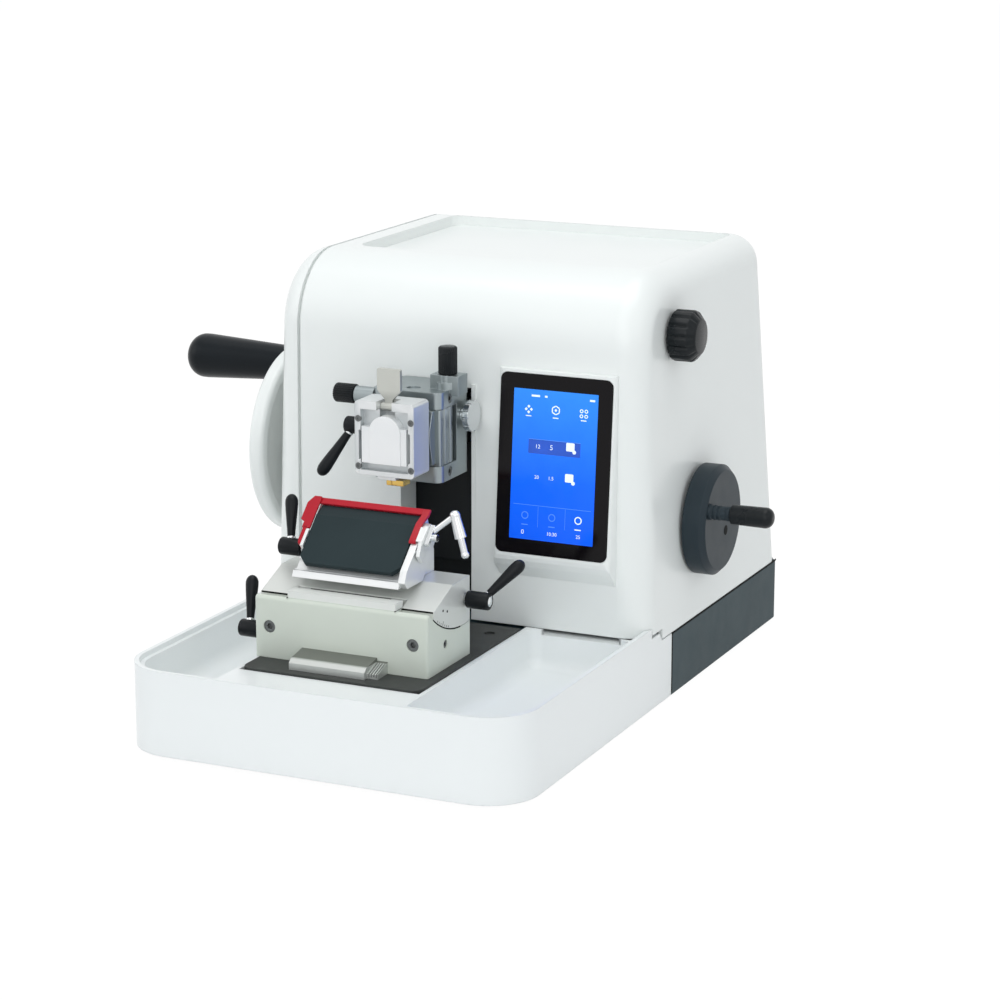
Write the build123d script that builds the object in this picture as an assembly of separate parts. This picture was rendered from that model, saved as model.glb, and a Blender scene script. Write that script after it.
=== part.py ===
from build123d import *
import math
import os

# Rotary microtome, millimetres, +Z up, front towards -Y.
# The sizes are measured from the body's centre plane and the bench; main() moves every piece sideways,
# so that the origin lies on the bench under the middle of the whole outline, grip and crank included.

# Driving dimensions
HALF_W = 151.5            # half width of the base
FRONT_Y = -254.5          # front of the waste tray
REAR_Y = 254.5            # rear of the housing
FOOT_H = 4.0
SEAT_H = 52.0             # lower edge of the housing walls
DECK_H = SEAT_H - 2.0     # top of the base block
APRON_H = 59.4            # lower edge of the housing front
ARC_R = 53.0              # radius of the front edge of the top
ARC_Y, ARC_Z = 22.0, 264.0
TOP_H = ARC_Z + ARC_R
FRONT_FOOT_Y = -34.0      # lower edge of the housing front
REAR_TOP_Y = 221.0        # where the leaning rear face would meet the top
REAR_EDGE_R = 24.0
SIDE_EDGE_R = 21.0
REAR_SLOPE = (REAR_Y - REAR_TOP_Y) / (TOP_H - SEAT_H)
WALL = 3.5                # wall of the housing shells
CLEAR = 0.05              # radial clearance of a shaft in its bore
GAP = 0.3                 # gap beside a sliding piece
T_X0, T_X1 = -75.0, 62.0  # forward tongue of the base
PLATE_T = 3.0
PLATE_TOP = 62.5          # top of the knife-holder plate
SLOT_X0, SLOT_X1 = -41.5, 15.5
SLOT_TOP = 231.0
GROOVE_W = 2.5
GROOVE_X = -HALF_W + 26.5  # joint of the left side cover
FAR = 400.0               # reach of the cutting blocks
SHAFT_Y, SHAFT_Z, SHAFT_R = 47.0, 162.5, 10.0
STROKE = 70.0
COARSE_Y, COARSE_Z, COARSE_SHAFT_R = 75.5, 125.0, 6.0
KNOB_Y, KNOB_Z, KNOB_SHAFT_R = 28.5, 270.0, 4.0
HEAD_X = -13.0            # centre plane of the specimen head
FEED_Z = 204.0            # axis of the feed slide at the top of the stroke
FEED_HALF = 18.0
EDGE_Y, EDGE_Z = -133.0, 162.0   # cutting edge, also the axis of the tilt segment
SEG_R = 75.5
SLOPE = 43.4              # slope of the pressure plate
GUARD_Y, GUARD_Z = -158.0, 142.0


# Helpers
def block(x0, x1, y0, y1, z0, z1):
    return Pos((x0 + x1) / 2, (y0 + y1) / 2, (z0 + z1) / 2) * Box(x1 - x0, y1 - y0, z1 - z0)


def rod(axis, a0, a1, u, v, r, r2=None):
    """Cylinder or cone along an axis; u and v are the two other coordinates in X, Y, Z order."""
    h = a1 - a0
    body = Cylinder(r, h) if r2 is None else Cone(r, r2, h)
    mid = (a0 + a1) / 2
    if axis == "X":
        return Pos(mid, u, v) * Rot(0, 90, 0) * body
    if axis == "Y":
        return Pos(u, mid, v) * Rot(-90, 0, 0) * body
    return Pos(u, v, mid) * body


def ring(axis, a0, a1, u, v, r_out, r_in):
    return rod(axis, a0, a1, u, v, r_out) - rod(axis, a0 - 1, a1 + 1, u, v, r_in)


def prism_x(points, x0, x1):
    """Prism along X from points given as (y, z)."""
    face = make_face(Polyline([(0, y, z) for y, z in points], close=True))
    return Pos(x0, 0, 0) * extrude(face, x1 - x0, dir=(1, 0, 0))


def prism_y(points, y0, y1):
    """Prism along Y from points given as (x, z)."""
    face = make_face(Polyline([(x, 0, z) for x, z in points], close=True))
    return Pos(0, y0, 0) * extrude(face, y1 - y0, dir=(0, 1, 0))


def soften(shape, edges, radius):
    """Fillet that keeps the plain shape when a radius does not fit."""
    try:
        return fillet(edges, radius)
    except Exception:
        print("plain edge kept, radius", radius)
        return shape


def outer_edges(shape, axis, radius, test=None):
    edges = shape.edges().filter_by(axis)
    if test is not None:
        edges = [e for e in edges if test(e.center())]
    return soften(shape, edges, radius)


def aimed(start, direction, shape):
    """Places a shape built along +Z from the origin so that it runs from start along direction."""
    return Plane(origin=start, z_dir=direction).location * shape


def unit(v):
    n = math.sqrt(sum(c * c for c in v))
    return tuple(c / n for c in v)


def slope_place(x, down, out):
    """Location on the pressure-plate slope: down the slope from the edge, out along its normal."""
    a = math.radians(SLOPE)
    y = EDGE_Y - down * math.cos(a) - out * math.sin(a)
    z = EDGE_Z - down * math.sin(a) + out * math.cos(a)
    return Pos(x, y, z) * Rot(SLOPE, 0, 0)


def slope_block(x0, x1, d0, d1, n0, n1):
    return slope_place((x0 + x1) / 2, (d0 + d1) / 2, (n0 + n1) / 2) * Box(x1 - x0, d1 - d0, n1 - n0)


def slope_prism(points, n0, n1):
    """Prism normal to the slope from points given as (x, down)."""
    face = make_face(Polyline([(x, -d, 0) for x, d in points], close=True))
    return slope_place(0, 0, n0) * extrude(face, n1 - n0, dir=(0, 0, 1))


def slope_side(points, x0, x1):
    """Prism along X on the slope from points given as (down, out)."""
    face = make_face(Polyline([(0, -d, n) for d, n in points], close=True))
    return slope_place(x0, 0, 0) * extrude(face, x1 - x0, dir=(1, 0, 0))


# Housing form
def housing_form(inset):
    """Outer form of the housing, drawn smaller by inset and longer at the foot."""
    i = inset
    foot = SEAT_H - 10
    arc_r = ARC_R - i
    diagonal = arc_r * math.cos(math.pi / 4)
    front_slope = (ARC_Y - ARC_R - FRONT_FOOT_Y) / (ARC_Z - APRON_H)
    front_low = (FRONT_FOOT_Y - (APRON_H - foot) * front_slope + i, foot)
    front_arc = (ARC_Y - arc_r, ARC_Z)
    mid = (ARC_Y - diagonal, ARC_Z + diagonal)
    top = (ARC_Y, TOP_H - i)
    rear_top = (REAR_TOP_Y - i, TOP_H - i)
    rear_low = (REAR_Y + (SEAT_H - foot) * REAR_SLOPE - i, foot)
    profile = Line((0, *front_low), (0, *front_arc))
    profile += ThreePointArc((0, *front_arc), (0, *mid), (0, *top))
    profile += Line((0, *top), (0, *rear_top))
    profile += Line((0, *rear_top), (0, *rear_low))
    profile += Line((0, *rear_low), (0, *front_low))
    wide = HALF_W + 8.5
    body = Pos(-wide, 0, 0) * extrude(make_face(profile), 2 * wide, dir=(1, 0, 0))
    low = HALF_W + 0.2 - i
    high = HALF_W - 7.5 - i
    sides = prism_y([(-low, SEAT_H), (low, SEAT_H), (high, TOP_H + 4), (-high, TOP_H + 4)], -60, 280)
    sides += block(-low, low, -60, 280, foot - 1, SEAT_H)
    body = body & sides
    body = outer_edges(body, Axis.X, REAR_EDGE_R - i, lambda c: c.Z > 296 and c.Y > 180)
    side = [e for e in body.edges() if abs(e.center().X) > high - 2 and e.center().Z > foot + 1]
    return soften(body, side, SIDE_EDGE_R - i)


def housing_outer():
    form = housing_form(0) - block(-200, 200, -60, 300, 0, SEAT_H)
    return form - block(-200, 200, -60, 1, SEAT_H - 5, APRON_H)


SCREEN_X = HALF_W - 68.0
SCREEN_W, SCREEN_H = 86.0, 129.5
SCREEN_Y, SCREEN_Z = -41.0, 181.75
SCREEN_LEAN = 4.855
SCREEN_RIM = 2.2


def screen_place(out):
    """Location on the screen face, Z outwards and Y up the glass."""
    return Pos(SCREEN_X, SCREEN_Y, SCREEN_Z) * Rot(90 - SCREEN_LEAN, 0, 0) * Pos(0, 0, out)


def screen_slab(w, h, r, n0, n1):
    return screen_place(n0) * extrude(RectangleRounded(w, h, r), n1 - n0)


def screen_bump():
    """Wedge that carries the screen, with its soft chin, as a moulding on the front wall."""
    x0 = SCREEN_X - SCREEN_W / 2 - SCREEN_RIM
    x1 = SCREEN_X + SCREEN_W / 2 + SCREEN_RIM
    reach = SCREEN_H / 2 + SCREEN_RIM
    top, low = SCREEN_Z + reach, SCREEN_Z - reach
    lean = math.tan(math.radians(SCREEN_LEAN))
    face_top, face_low = SCREEN_Y + reach * lean, SCREEN_Y - reach * lean
    points = [(SCREEN_Y + 14, top + 1), (face_top, top), (face_low, low), (face_low + 0.4, low - 3),
              (face_low + 3.6, low - 8), (face_low + 8.6, low - 13), (face_low + 13.6, low - 18),
              (SCREEN_Y + 14, low - 19)]
    bump = prism_x(points, x0, x1)
    edges = [e for e in bump.edges() if abs(e.center().Y - SCREEN_Y) < 0.9 and abs(e.center().Z - SCREEN_Z) < 8]
    return soften(bump, edges, 4) - housing_outer()


POCKET_Y0, POCKET_Y1, POCKET_Z = 31.0, 205.0, 309.0


def housing_pocket():
    """Shallow storage recess in the top."""
    pocket = block(GROOVE_X + 16.5, HALF_W - 25.5, POCKET_Y0, POCKET_Y1, POCKET_Z, TOP_H + 10)
    return outer_edges(pocket, Axis.Z, 12)


def housing_split():
    outer = housing_outer()
    cavity = housing_form(WALL)
    floor = block(GROOVE_X + 13, HALF_W - 22, POCKET_Y0 - WALL, POCKET_Y1 + WALL, POCKET_Z - 3, TOP_H + 10)
    floor = outer_edges(floor, Axis.Z, 14)
    cavity = cavity - floor
    shell = outer - cavity
    shell = shell - housing_pocket()
    groove = GROOVE_X + GROOVE_W / 2
    cover = shell & block(-FAR, GROOVE_X - GROOVE_W / 2, -FAR, FAR, 0, FAR)
    body = shell & block(groove, FAR, -FAR, FAR, 0, FAR)
    tongue = housing_form(WALL + 0.1) - housing_form(WALL + 3)
    tongue = tongue & block(GROOVE_X - 5, GROOVE_X + 9, -FAR, REAR_TOP_Y + 4, SEAT_H + 13, FAR)
    link = housing_form(WALL - 1) - housing_form(WALL + 3)
    link = link & block(groove, GROOVE_X + 9, -FAR, REAR_TOP_Y + 4, SEAT_H + 13, FAR)
    return body + tongue + link, cover


def housing_body(body):
    seat = screen_slab(SCREEN_W + 0.4, SCREEN_H + 0.4, 5.2, -9, 5)
    seat += screen_slab(SCREEN_W - 14, SCREEN_H - 14.5, 2, -40, 0)
    surround = screen_bump() - seat
    body = body - seat
    # Recess of the head slot: two side walls behind a cut through the front
    cheeks = block(SLOT_X0 - 3, SLOT_X0, -33, -8, APRON_H, SLOT_TOP + 3)
    cheeks += block(SLOT_X1, SLOT_X1 + 3, -33, -8, APRON_H, SLOT_TOP + 3)
    cheeks += block(SLOT_X0 - 3, SLOT_X1 + 3, -31, -8, SLOT_TOP, SLOT_TOP + 3)
    body = body + cheeks
    body = body - block(SLOT_X0, SLOT_X1, -60, -7.5, APRON_H - 8, SLOT_TOP)
    body = body - rod("X", HALF_W - 21.5, HALF_W + 8.5, COARSE_Y, COARSE_Z, COARSE_BUSH_R)
    body = body - rod("X", HALF_W - 21.5, HALF_W + 8.5, KNOB_Y, KNOB_Z, KNOB_BUSH_R)
    for x, z in COVER_SCREWS:
        if x > GROOVE_X:
            body = body - rear_screw_hole(x, z)
    return Compound([*body.solids(), *surround.solids()])


COVER_SCREWS = [(x, z) for x in (17.5 - HALF_W, -60.0, 60.0, HALF_W - 17.5) for z in (80.0, 265.0)]
REAR_LEAN = math.degrees(math.atan(REAR_SLOPE))


def rear_place(x, z, out):
    """Location on the rear face, Z outwards."""
    y = REAR_Y - (z - SEAT_H) * REAR_SLOPE
    return Pos(x, y, z) * Rot(-90 + REAR_LEAN, 0, 0) * Pos(0, 0, out)


def rear_screw_hole(x, z):
    return rear_place(x, z, -4) * Cylinder(2.0, 10)


def cover_screws():
    screws = Part()
    for x, z in COVER_SCREWS:
        screw = rear_place(x, z, 0.9) * Cylinder(3.4, 1.8) + rear_place(x, z, -4) * Cylinder(2.0, 8)
        screws += screw - rear_place(x, z, 1.4) * extrude(RegularPolygon(1.5, 6), 1)
    return screws


def left_cover(cover):
    cover = cover - rod("X", -HALF_W - 8.5, -HALF_W + 21.5, SHAFT_Y, SHAFT_Z, BUSH_R)
    for x, z in COVER_SCREWS:
        if x < GROOVE_X:
            cover = cover - rear_screw_hole(x, z)
    return cover


BUSH_R, COARSE_BUSH_R, KNOB_BUSH_R = 15.0, 12.0, 9.0


def shaft_bushes():
    bushes = ring("X", -HALF_W + 2.1, -HALF_W + 9.5, SHAFT_Y, SHAFT_Z, BUSH_R, SHAFT_R + CLEAR)
    bushes += ring("X", HALF_W - 8.5, HALF_W - 0.9, COARSE_Y, COARSE_Z, COARSE_BUSH_R, COARSE_SHAFT_R + CLEAR)
    bushes += ring("X", HALF_W - 12.5, HALF_W - 5.5, KNOB_Y, KNOB_Z, KNOB_BUSH_R, KNOB_SHAFT_R + CLEAR)
    return bushes


# Base
BASE_PLATE_H = 8.0
BASE_REAR_Y = REAR_Y - 1.0


def base_casting():
    rear = block(-HALF_W, HALF_W, 20, BASE_REAR_Y, FOOT_H, DECK_H)
    rear = outer_edges(rear, Axis.Z, 10, lambda c: c.Y > 200)
    land = block(-HALF_W + 1.8, HALF_W - 1.8, 22, BASE_REAR_Y - 1.7, DECK_H, SEAT_H)
    land = outer_edges(land, Axis.Z, 9, lambda c: c.Y > 200)
    tongue = block(T_X0, T_X1, -214.7, 20, FOOT_H, PLATE_TOP - PLATE_T)
    tongue = outer_edges(tongue, Axis.Z, 9, lambda c: c.Y < 0)
    tongue -= block(T_X0 - 1, T_X1 + 1, -50, 21, 57, 70)
    plate = block(-HALF_W + 9.5, HALF_W - 9.5, FRONT_Y + 14.5, 20, FOOT_H, BASE_PLATE_H)
    plate = outer_edges(plate, Axis.Z, 28, lambda c: c.Y < 0)
    base = rear + land + tongue + plate
    base -= block(-HALF_W + 6, HALF_W - 6, 29, BASE_REAR_Y - 7, 12, SEAT_H + 8)
    base -= block(-66, -10, -204, -24, 0, 50)
    base -= block(-2, 53, -204, -24, 0, 50)
    base -= block(-50, 24, -8.5, 40, 18, 70)
    base -= block(PANEL_X0, PANEL_X1, PANEL_Y - 7, PANEL_Y + 13, PANEL_Z0, PANEL_Z1)
    return base


FEET = [(side * (HALF_W - inset), y) for inset, y in ((31.5, -205.0), (26.5, 225.0)) for side in (-1, 1)]


def rubber_feet():
    feet = Part()
    for x, y in FEET:
        feet += rod("Z", 0, FOOT_H, x, y, 11, 12)
    return feet


def holder_plate():
    plate = block(T_X0, T_X1, -215, -50, PLATE_TOP - PLATE_T, PLATE_TOP)
    plate = outer_edges(plate, Axis.Z, 9, lambda c: c.Y < -200)
    plate = soften(plate, plate.edges().group_by(Axis.Z)[-1], 0.5)
    for x in (-60.0, 47.0):
        plate -= rod("Z", PLATE_TOP - 1.5, PLATE_TOP + 1, x, -70, 4)
    return plate


PANEL_X0, PANEL_X1, PANEL_Z0, PANEL_Z1 = 10.0, HALF_W - 21.5, 15.0, 46.0
PANEL_Y = BASE_REAR_Y - 6.5    # inner face of the rear panel
INLET_X0, INLET_X1, INLET_Z0, INLET_Z1 = 24.0, 54.0, 20.0, 42.0
ROCKER_X0, ROCKER_X1 = 66.0, 82.0


def rear_panel():
    panel = block(PANEL_X0, PANEL_X1, PANEL_Y, PANEL_Y + 2, PANEL_Z0, PANEL_Z1)
    panel -= block(INLET_X0, INLET_X1, PANEL_Y - 7, PANEL_Y + 8, INLET_Z0, INLET_Z1)
    panel -= block(ROCKER_X0, ROCKER_X1, PANEL_Y - 7, PANEL_Y + 8, INLET_Z0, INLET_Z1)
    frame = block(ROCKER_X0, ROCKER_X1, PANEL_Y - 7, PANEL_Y + 2, INLET_Z0, INLET_Z1)
    frame -= block(ROCKER_X0 + 1.1, ROCKER_X1 - 1.1, PANEL_Y - 8, PANEL_Y + 13, INLET_Z0 + 1.1, INLET_Z1 - 1.1)
    return panel + frame


def power_inlet():
    front = PANEL_Y + 2
    inlet = block(INLET_X0 - 3, INLET_X1 + 3, front, front + 2.5, INLET_Z0 - 2, INLET_Z1 + 2)
    inlet += block(INLET_X0 + 0.2, INLET_X1 - 0.2, front - 21, front, INLET_Z0 + 0.2, INLET_Z1 - 0.2)
    inlet -= block(INLET_X0 + 4, INLET_X1 - 4, front - 13, front + 11, INLET_Z0 + 4, INLET_Z1 - 4)
    middle = (INLET_X0 + INLET_X1) / 2
    for x in (middle - 7, middle, middle + 7):
        inlet += block(x - 1, x + 1, front - 19, front - 1, INLET_Z0 + 9, INLET_Z0 + 13)
    return inlet


def rocker_switch():
    low, back = INLET_Z0 + 2, PANEL_Y - 3
    points = [(back, low + 2.2), (back + 7.2, low), (back + 5.8, low + 9), (back + 8.6, low + 18), (back, low + 15.8)]
    return prism_x(points, ROCKER_X0 + 1.4, ROCKER_X1 - 1.4)


# Waste tray
RIM_H = 64.5
RIM_T = 3.5


def tray_footprint(inset, z0, z1):
    body = block(-HALF_W + inset, HALF_W - inset, FRONT_Y + inset, 19.8, z0, z1)
    return outer_edges(body, Axis.Z, 37 - inset, lambda c: c.Y < 0)


def tray_section(x_in, x_out, side):
    """One basin as a solid to be cut out, with rounded lower edges."""
    depth0 = FRONT_Y + 7.5
    basin = block(min(x_in, x_out), max(x_in, x_out), depth0, -40, 31, 90)
    basin = outer_edges(basin, Axis.Z, 30, lambda c: c.Y < -100 and side * c.X > 100)
    basin = outer_edges(basin, Axis.Z, 10, lambda c: c.Y > -100 or side * c.X < 100)
    low = basin.edges().group_by(Axis.Z)[0]
    return soften(basin, low, 9)


def waste_tray():
    inner0, inner1 = T_X0 - GAP, T_X1 + GAP
    body = tray_footprint(0, FOOT_H, RIM_H)
    body -= tray_footprint(RIM_T, 61, RIM_H + 5)
    body -= tray_section(inner0 - RIM_T, -HALF_W + 7, -1)
    body -= tray_section(inner1 + RIM_T, HALF_W - 7, 1)
    # Underside: hollow below the basins, the tongue of the base runs in from behind
    body -= tray_footprint(RIM_T, 0, BASE_PLATE_H)
    body -= block(inner0, inner1, -215.3, 30, 0, 90)
    for x0, x1 in ((-HALF_W + 12, inner0 - 4), (inner1 + 4, HALF_W - 12)):
        body -= block(x0, x1, -232, -6, 0, 27.5)
        body -= block(x0, x1, -34, -4, 0, 53)
    body -= block(inner0 + 2, inner1 - 2, -250, -219, 0, 57.5)
    # Rear ledge and the side skirts that run beside the housing
    body -= block(-HALF_W + 4.3, HALF_W - 4.3, -0.5, 30, 0, 90)
    body -= block(-HALF_W + 6.5, HALF_W - 6.5, -40, 30, 56.5, 90)
    body -= block(-FAR, FAR, 2, 30, SEAT_H - 1, 90)
    body -= prism_x([(-8, 90), (-8, 61.6), (0.5, SEAT_H - 1), (31, SEAT_H - 1), (31, 90)], -FAR, FAR)
    corner = block(-HALF_W - 0.8, HALF_W + 0.8, FRONT_FOOT_Y - 0.8, 60, 57.2, 90)
    corner = outer_edges(corner, Axis.Z, SIDE_EDGE_R + 0.8, lambda c: c.Y < 0)
    body -= corner
    return body


# Frame and drive
WALL_A, WALL_B = (-98.0, -84.0), (15.5 - HALF_W, 29.5 - HALF_W)
FRAME_X1 = HALF_W - 39.5
BEARING_R = 21.0
RAIL_X, RAIL_Y, RAIL_R = (-41.0, 15.0), 42.0, 5.0


def frame_column():
    frame = block(WALL_B[0], FRAME_X1, 106, 122, 12, 290)
    frame -= block(-112, -60, 100, 130, 215, 262)
    frame += block(WALL_B[0], FRAME_X1, 40, 122, 12, 20)
    frame += block(-60, 34, 32, 106, 262, 276)
    frame += block(-60, 34, 32, 106, 58, 72)
    for x0, x1 in (WALL_A, WALL_B):
        frame += block(x0, x1, 30, 106, 20, 200)
        frame += rod("X", x0, x1, SHAFT_Y, SHAFT_Z, 27)
        frame -= rod("X", x0 - 1, x1 + 1, SHAFT_Y, SHAFT_Z, BEARING_R)
    frame += block(FRAME_X1 - 12, FRAME_X1, 50, 106, 20, 150)
    frame -= rod("X", FRAME_X1 - 22, FRAME_X1 + 8, COARSE_Y, COARSE_Z, 11)
    for x in RAIL_X:
        frame -= rod("Z", 50, 280, x, RAIL_Y, RAIL_R)
    return frame


def guide_rails():
    rails = Part()
    for x in RAIL_X:
        rails += rod("Z", 58, 278, x, RAIL_Y, RAIL_R)
    return rails


def shaft_bearings():
    bearings = Part()
    for x0, x1 in (WALL_A, WALL_B):
        race = ring("X", x0, x1, SHAFT_Y, SHAFT_Z, BEARING_R, SHAFT_R + CLEAR)
        race -= ring("X", x1 - 1.5, x1 + 1, SHAFT_Y, SHAFT_Z, 17.5, 13.5)
        race -= ring("X", x0 - 1, x0 + 1.5, SHAFT_Y, SHAFT_Z, 17.5, 13.5)
        bearings += race
    bearings += ring("X", FRAME_X1 - 12, FRAME_X1, COARSE_Y, COARSE_Z, 11, COARSE_SHAFT_R + CLEAR)
    return bearings


def slot_apron():
    x0, x1 = SLOT_X0 - 8.5, SLOT_X1 + 8.5
    return block(x0, x1, -3, 0, 21, 94) + block(x0, x1, -3, 29, 18, 21)


def display_panel():
    return screen_slab(SCREEN_W - 2, SCREEN_H - 2.5, 3, -6.5, -2.2)


def screen_glass():
    return screen_slab(SCREEN_W, SCREEN_H, 5, -2.0, 0.2)


def control_board():
    wide, high = SCREEN_W - 22, SCREEN_H - 29.5
    board = screen_slab(wide, high, 2, -14, -12)
    board += screen_slab(22, 22, 1, -12, -6.6)
    for dx in (6 - wide / 2, wide / 2 - 6):
        for dy in (10 - high / 2, high / 2 - 10):
            board += screen_place(-12) * Pos(dx, dy, 0) * extrude(Circle(2.5), 5.4)
    return board


def power_supply():
    supply = block(-40, 90, 150, 225, 12, 62)
    for k in range(12):
        x = -30 + k * 9.5
        supply -= block(x, x + 4, 149, 151.5, 22, 52)
    return supply


# Handwheel
WHEEL_X0, WHEEL_X1, WHEEL_R = -HALF_W - 22.5, -HALF_W - 10.5, 72.0
CRANK_R = STROKE / 2
DISC_X0, DISC_X1 = -79.0, -67.0
ROLLER_X1 = -57.0
GRIP_OFFSET, GRIP_END = 57.0, -HALF_W - 110.5


def handwheel():
    wheel = rod("X", WHEEL_X0, WHEEL_X1, SHAFT_Y, SHAFT_Z, WHEEL_R)
    rims = [e for e in wheel.edges().filter_by(GeomType.CIRCLE) if e.radius > WHEEL_R - 1]
    wheel = soften(wheel, rims, 4)
    dish = rod("X", WHEEL_X1 - 4, WHEEL_X1 + 1, SHAFT_Y, SHAFT_Z, WHEEL_R - 9)
    wheel -= dish - rod("X", WHEEL_X1 - 5, WHEEL_X1 + 2, SHAFT_Y, SHAFT_Z, 22)
    wheel += rod("X", WHEEL_X1, -HALF_W - 0.5, SHAFT_Y, SHAFT_Z, 18)
    wheel -= rod("X", WHEEL_X0 + 2, -HALF_W + 0.5, SHAFT_Y, SHAFT_Z, SHAFT_R)
    wheel -= rod("X", WHEEL_X0 - 1, WHEEL_X1 + 1, SHAFT_Y, SHAFT_Z + GRIP_OFFSET, 5)
    return wheel


def hub_cap():
    cap = rod("X", WHEEL_X0 - 3, WHEEL_X0, SHAFT_Y, SHAFT_Z, 15)
    return soften(cap, cap.edges().group_by(Axis.X)[0], 2)


def main_shaft():
    shaft = rod("X", WHEEL_X0 + 2, DISC_X0 + 8, SHAFT_Y, SHAFT_Z, SHAFT_R)
    return soften(shaft, shaft.edges(), 0.8)


def crank_disc():
    disc = rod("X", DISC_X0, DISC_X1, SHAFT_Y, SHAFT_Z, 46)
    disc = soften(disc, disc.edges(), 1.5)
    disc -= rod("X", DISC_X0 - 1, DISC_X0 + 8, SHAFT_Y, SHAFT_Z, SHAFT_R)
    disc -= rod("X", DISC_X1 - 6, DISC_X1 + 1, SHAFT_Y, SHAFT_Z + CRANK_R, 4)
    for dy in (-22.0, 22.0):
        disc -= rod("X", DISC_X0 - 1, DISC_X1 + 1, SHAFT_Y + dy, SHAFT_Z - 14, 9)
    return disc


def crank_roller():
    roller = rod("X", DISC_X1, ROLLER_X1, SHAFT_Y, SHAFT_Z + CRANK_R, 8)
    return roller + rod("X", DISC_X1 - 6, DISC_X1, SHAFT_Y, SHAFT_Z + CRANK_R, 4)


def grip_spindle():
    z = SHAFT_Z + GRIP_OFFSET
    return rod("X", GRIP_END + 10, WHEEL_X0, SHAFT_Y, z, 4) + rod("X", WHEEL_X0, WHEEL_X1 - 5, SHAFT_Y, z, 5)


def handwheel_grip():
    z = SHAFT_Z + GRIP_OFFSET
    start = WHEEL_X0 - 1.5
    bulge = start - 70
    grip = rod("X", bulge, start, SHAFT_Y, z, 17, 13.2)
    nose = rod("X", GRIP_END, bulge, SHAFT_Y, z, 17)
    nose = soften(nose, nose.edges().group_by(Axis.X)[0], 13)
    grip = grip + nose
    return grip - rod("X", GRIP_END + 9, start + 1, SHAFT_Y, z, 4 + CLEAR)


# Carriage and feed
def carriage():
    body = block(-49.5, 23.5, -4, 60, FEED_Z - 38, FEED_Z + 41)
    body = outer_edges(body, Axis.Z, 5)
    body -= block(HEAD_X - FEED_HALF - CLEAR, HEAD_X + FEED_HALF + CLEAR, -10, 70,
                  FEED_Z - FEED_HALF - CLEAR, FEED_Z + FEED_HALF + CLEAR)
    for x in RAIL_X:
        body -= rod("Z", FEED_Z - 44, FEED_Z + 46, x, RAIL_Y, RAIL_R + CLEAR)
    return body


def yoke_plate():
    z = SHAFT_Z + CRANK_R
    yoke = block(-55.5, -49.5, 0, 94, z - 18, z + 18)
    yoke = outer_edges(yoke, Axis.X, 8)
    slot = block(-57, -48, 12, 82, z - 8.3, z + 8.3)
    slot += rod("X", -57, -48, 12, z, 8.3) + rod("X", -57, -48, 82, z, 8.3)
    return yoke - slot


def slot_cover():
    cover = block(-48.5, 22.5, -7, -4, 95, 302)
    window = block(HEAD_X - FEED_HALF - 1, HEAD_X + FEED_HALF + 1, -10, 0, FEED_Z - FEED_HALF - 1, FEED_Z + FEED_HALF + 1)
    return outer_edges(cover, Axis.Y, 2) - window


def feed_motor():
    motor = block(-34, 8, 68, 100, FEED_Z - 21, FEED_Z + 21)
    motor = outer_edges(motor, Axis.Y, 3)
    motor += block(-34, -29, 60, 68, FEED_Z - 21, FEED_Z + 21) + block(3, 8, 60, 68, FEED_Z - 21, FEED_Z + 21)
    return motor - rod("Y", 66, 80, HEAD_X, FEED_Z, 6)


def feed_screw():
    screw = rod("Y", 8, 79, HEAD_X, FEED_Z, 5)
    for k in range(8):
        y = 14 + k * 5.0
        screw -= ring("Y", y, y + 2, HEAD_X, FEED_Z, 7, 4.2)
    return screw


def feed_slide():
    x0, x1 = HEAD_X - FEED_HALF, HEAD_X + FEED_HALF
    slide = block(x0, x1, -32.5, 54, FEED_Z - FEED_HALF, FEED_Z + FEED_HALF)
    slide = outer_edges(slide, Axis.Y, 2)
    slide -= rod("Y", -24, 60, HEAD_X, FEED_Z, 5 + CLEAR)
    return slide


# Specimen head
HEAD_X0, HEAD_X1 = -40.0, 14.0
PAN_Y = -68.0
TILT_Y, TILT_Z = -86.0, 207.0


def head_carrier():
    body = block(HEAD_X0, HEAD_X1, -81, -32.5, 171, 236)
    body = outer_edges(body, Axis.Z, 6)
    body -= block(HEAD_X0 - 1, HEAD_X1 + 1, -90, -54, 183, 224)
    body -= rod("Z", 170, 240, HEAD_X, PAN_Y, 5 + CLEAR)
    body += rod("Z", 236, 241, 10, -60, 8.5) + rod("Z", 241, 246, 10, -60, 6.5)
    body += block(-1, 21, -66, -51, 232, 246)
    body += rod("X", -54.7, HEAD_X0 + 0.5, -75, 229, 6)
    body -= block(HEAD_X0 - 1, HEAD_X1 + 1, -60, -54, 183, 224)
    body -= rod("Z", 170, 183, HEAD_X, PAN_Y, 5 + CLEAR)
    for z in HEAD_SCREW_Z:
        body -= rod("X", HEAD_X1 - 6, HEAD_X1 + 1, -65, z, 3.6)
    body -= rod("Z", 236, 250, 10, -60, 2.5 + CLEAR)
    body -= rod("X", -60, -38, -75, 229, 2.5 + CLEAR)
    body -= rod("X", 5, 20, -45, 214, 3 + CLEAR)
    return body


HEAD_SCREW_Z = (230.0, 177.0)


def socket_screw(radius, length, head):
    """Cap screw along +Z, top of the head at z = 0."""
    screw = Pos(0, 0, -head / 2) * Cylinder(radius, head)
    if length > head:
        screw += Pos(0, 0, -(head + length) / 2) * Cylinder(radius * 0.55, length - head)
    return screw - Pos(0, 0, -head * 0.6) * extrude(RegularPolygon(radius * 0.5, 6), head)


def head_screws():
    screws = Part()
    for z in HEAD_SCREW_Z:
        screws += Pos(HEAD_X1 - 0.4, -65, z) * Rot(0, 90, 0) * socket_screw(3.55, 5.5, 5.5)
    return screws


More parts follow.
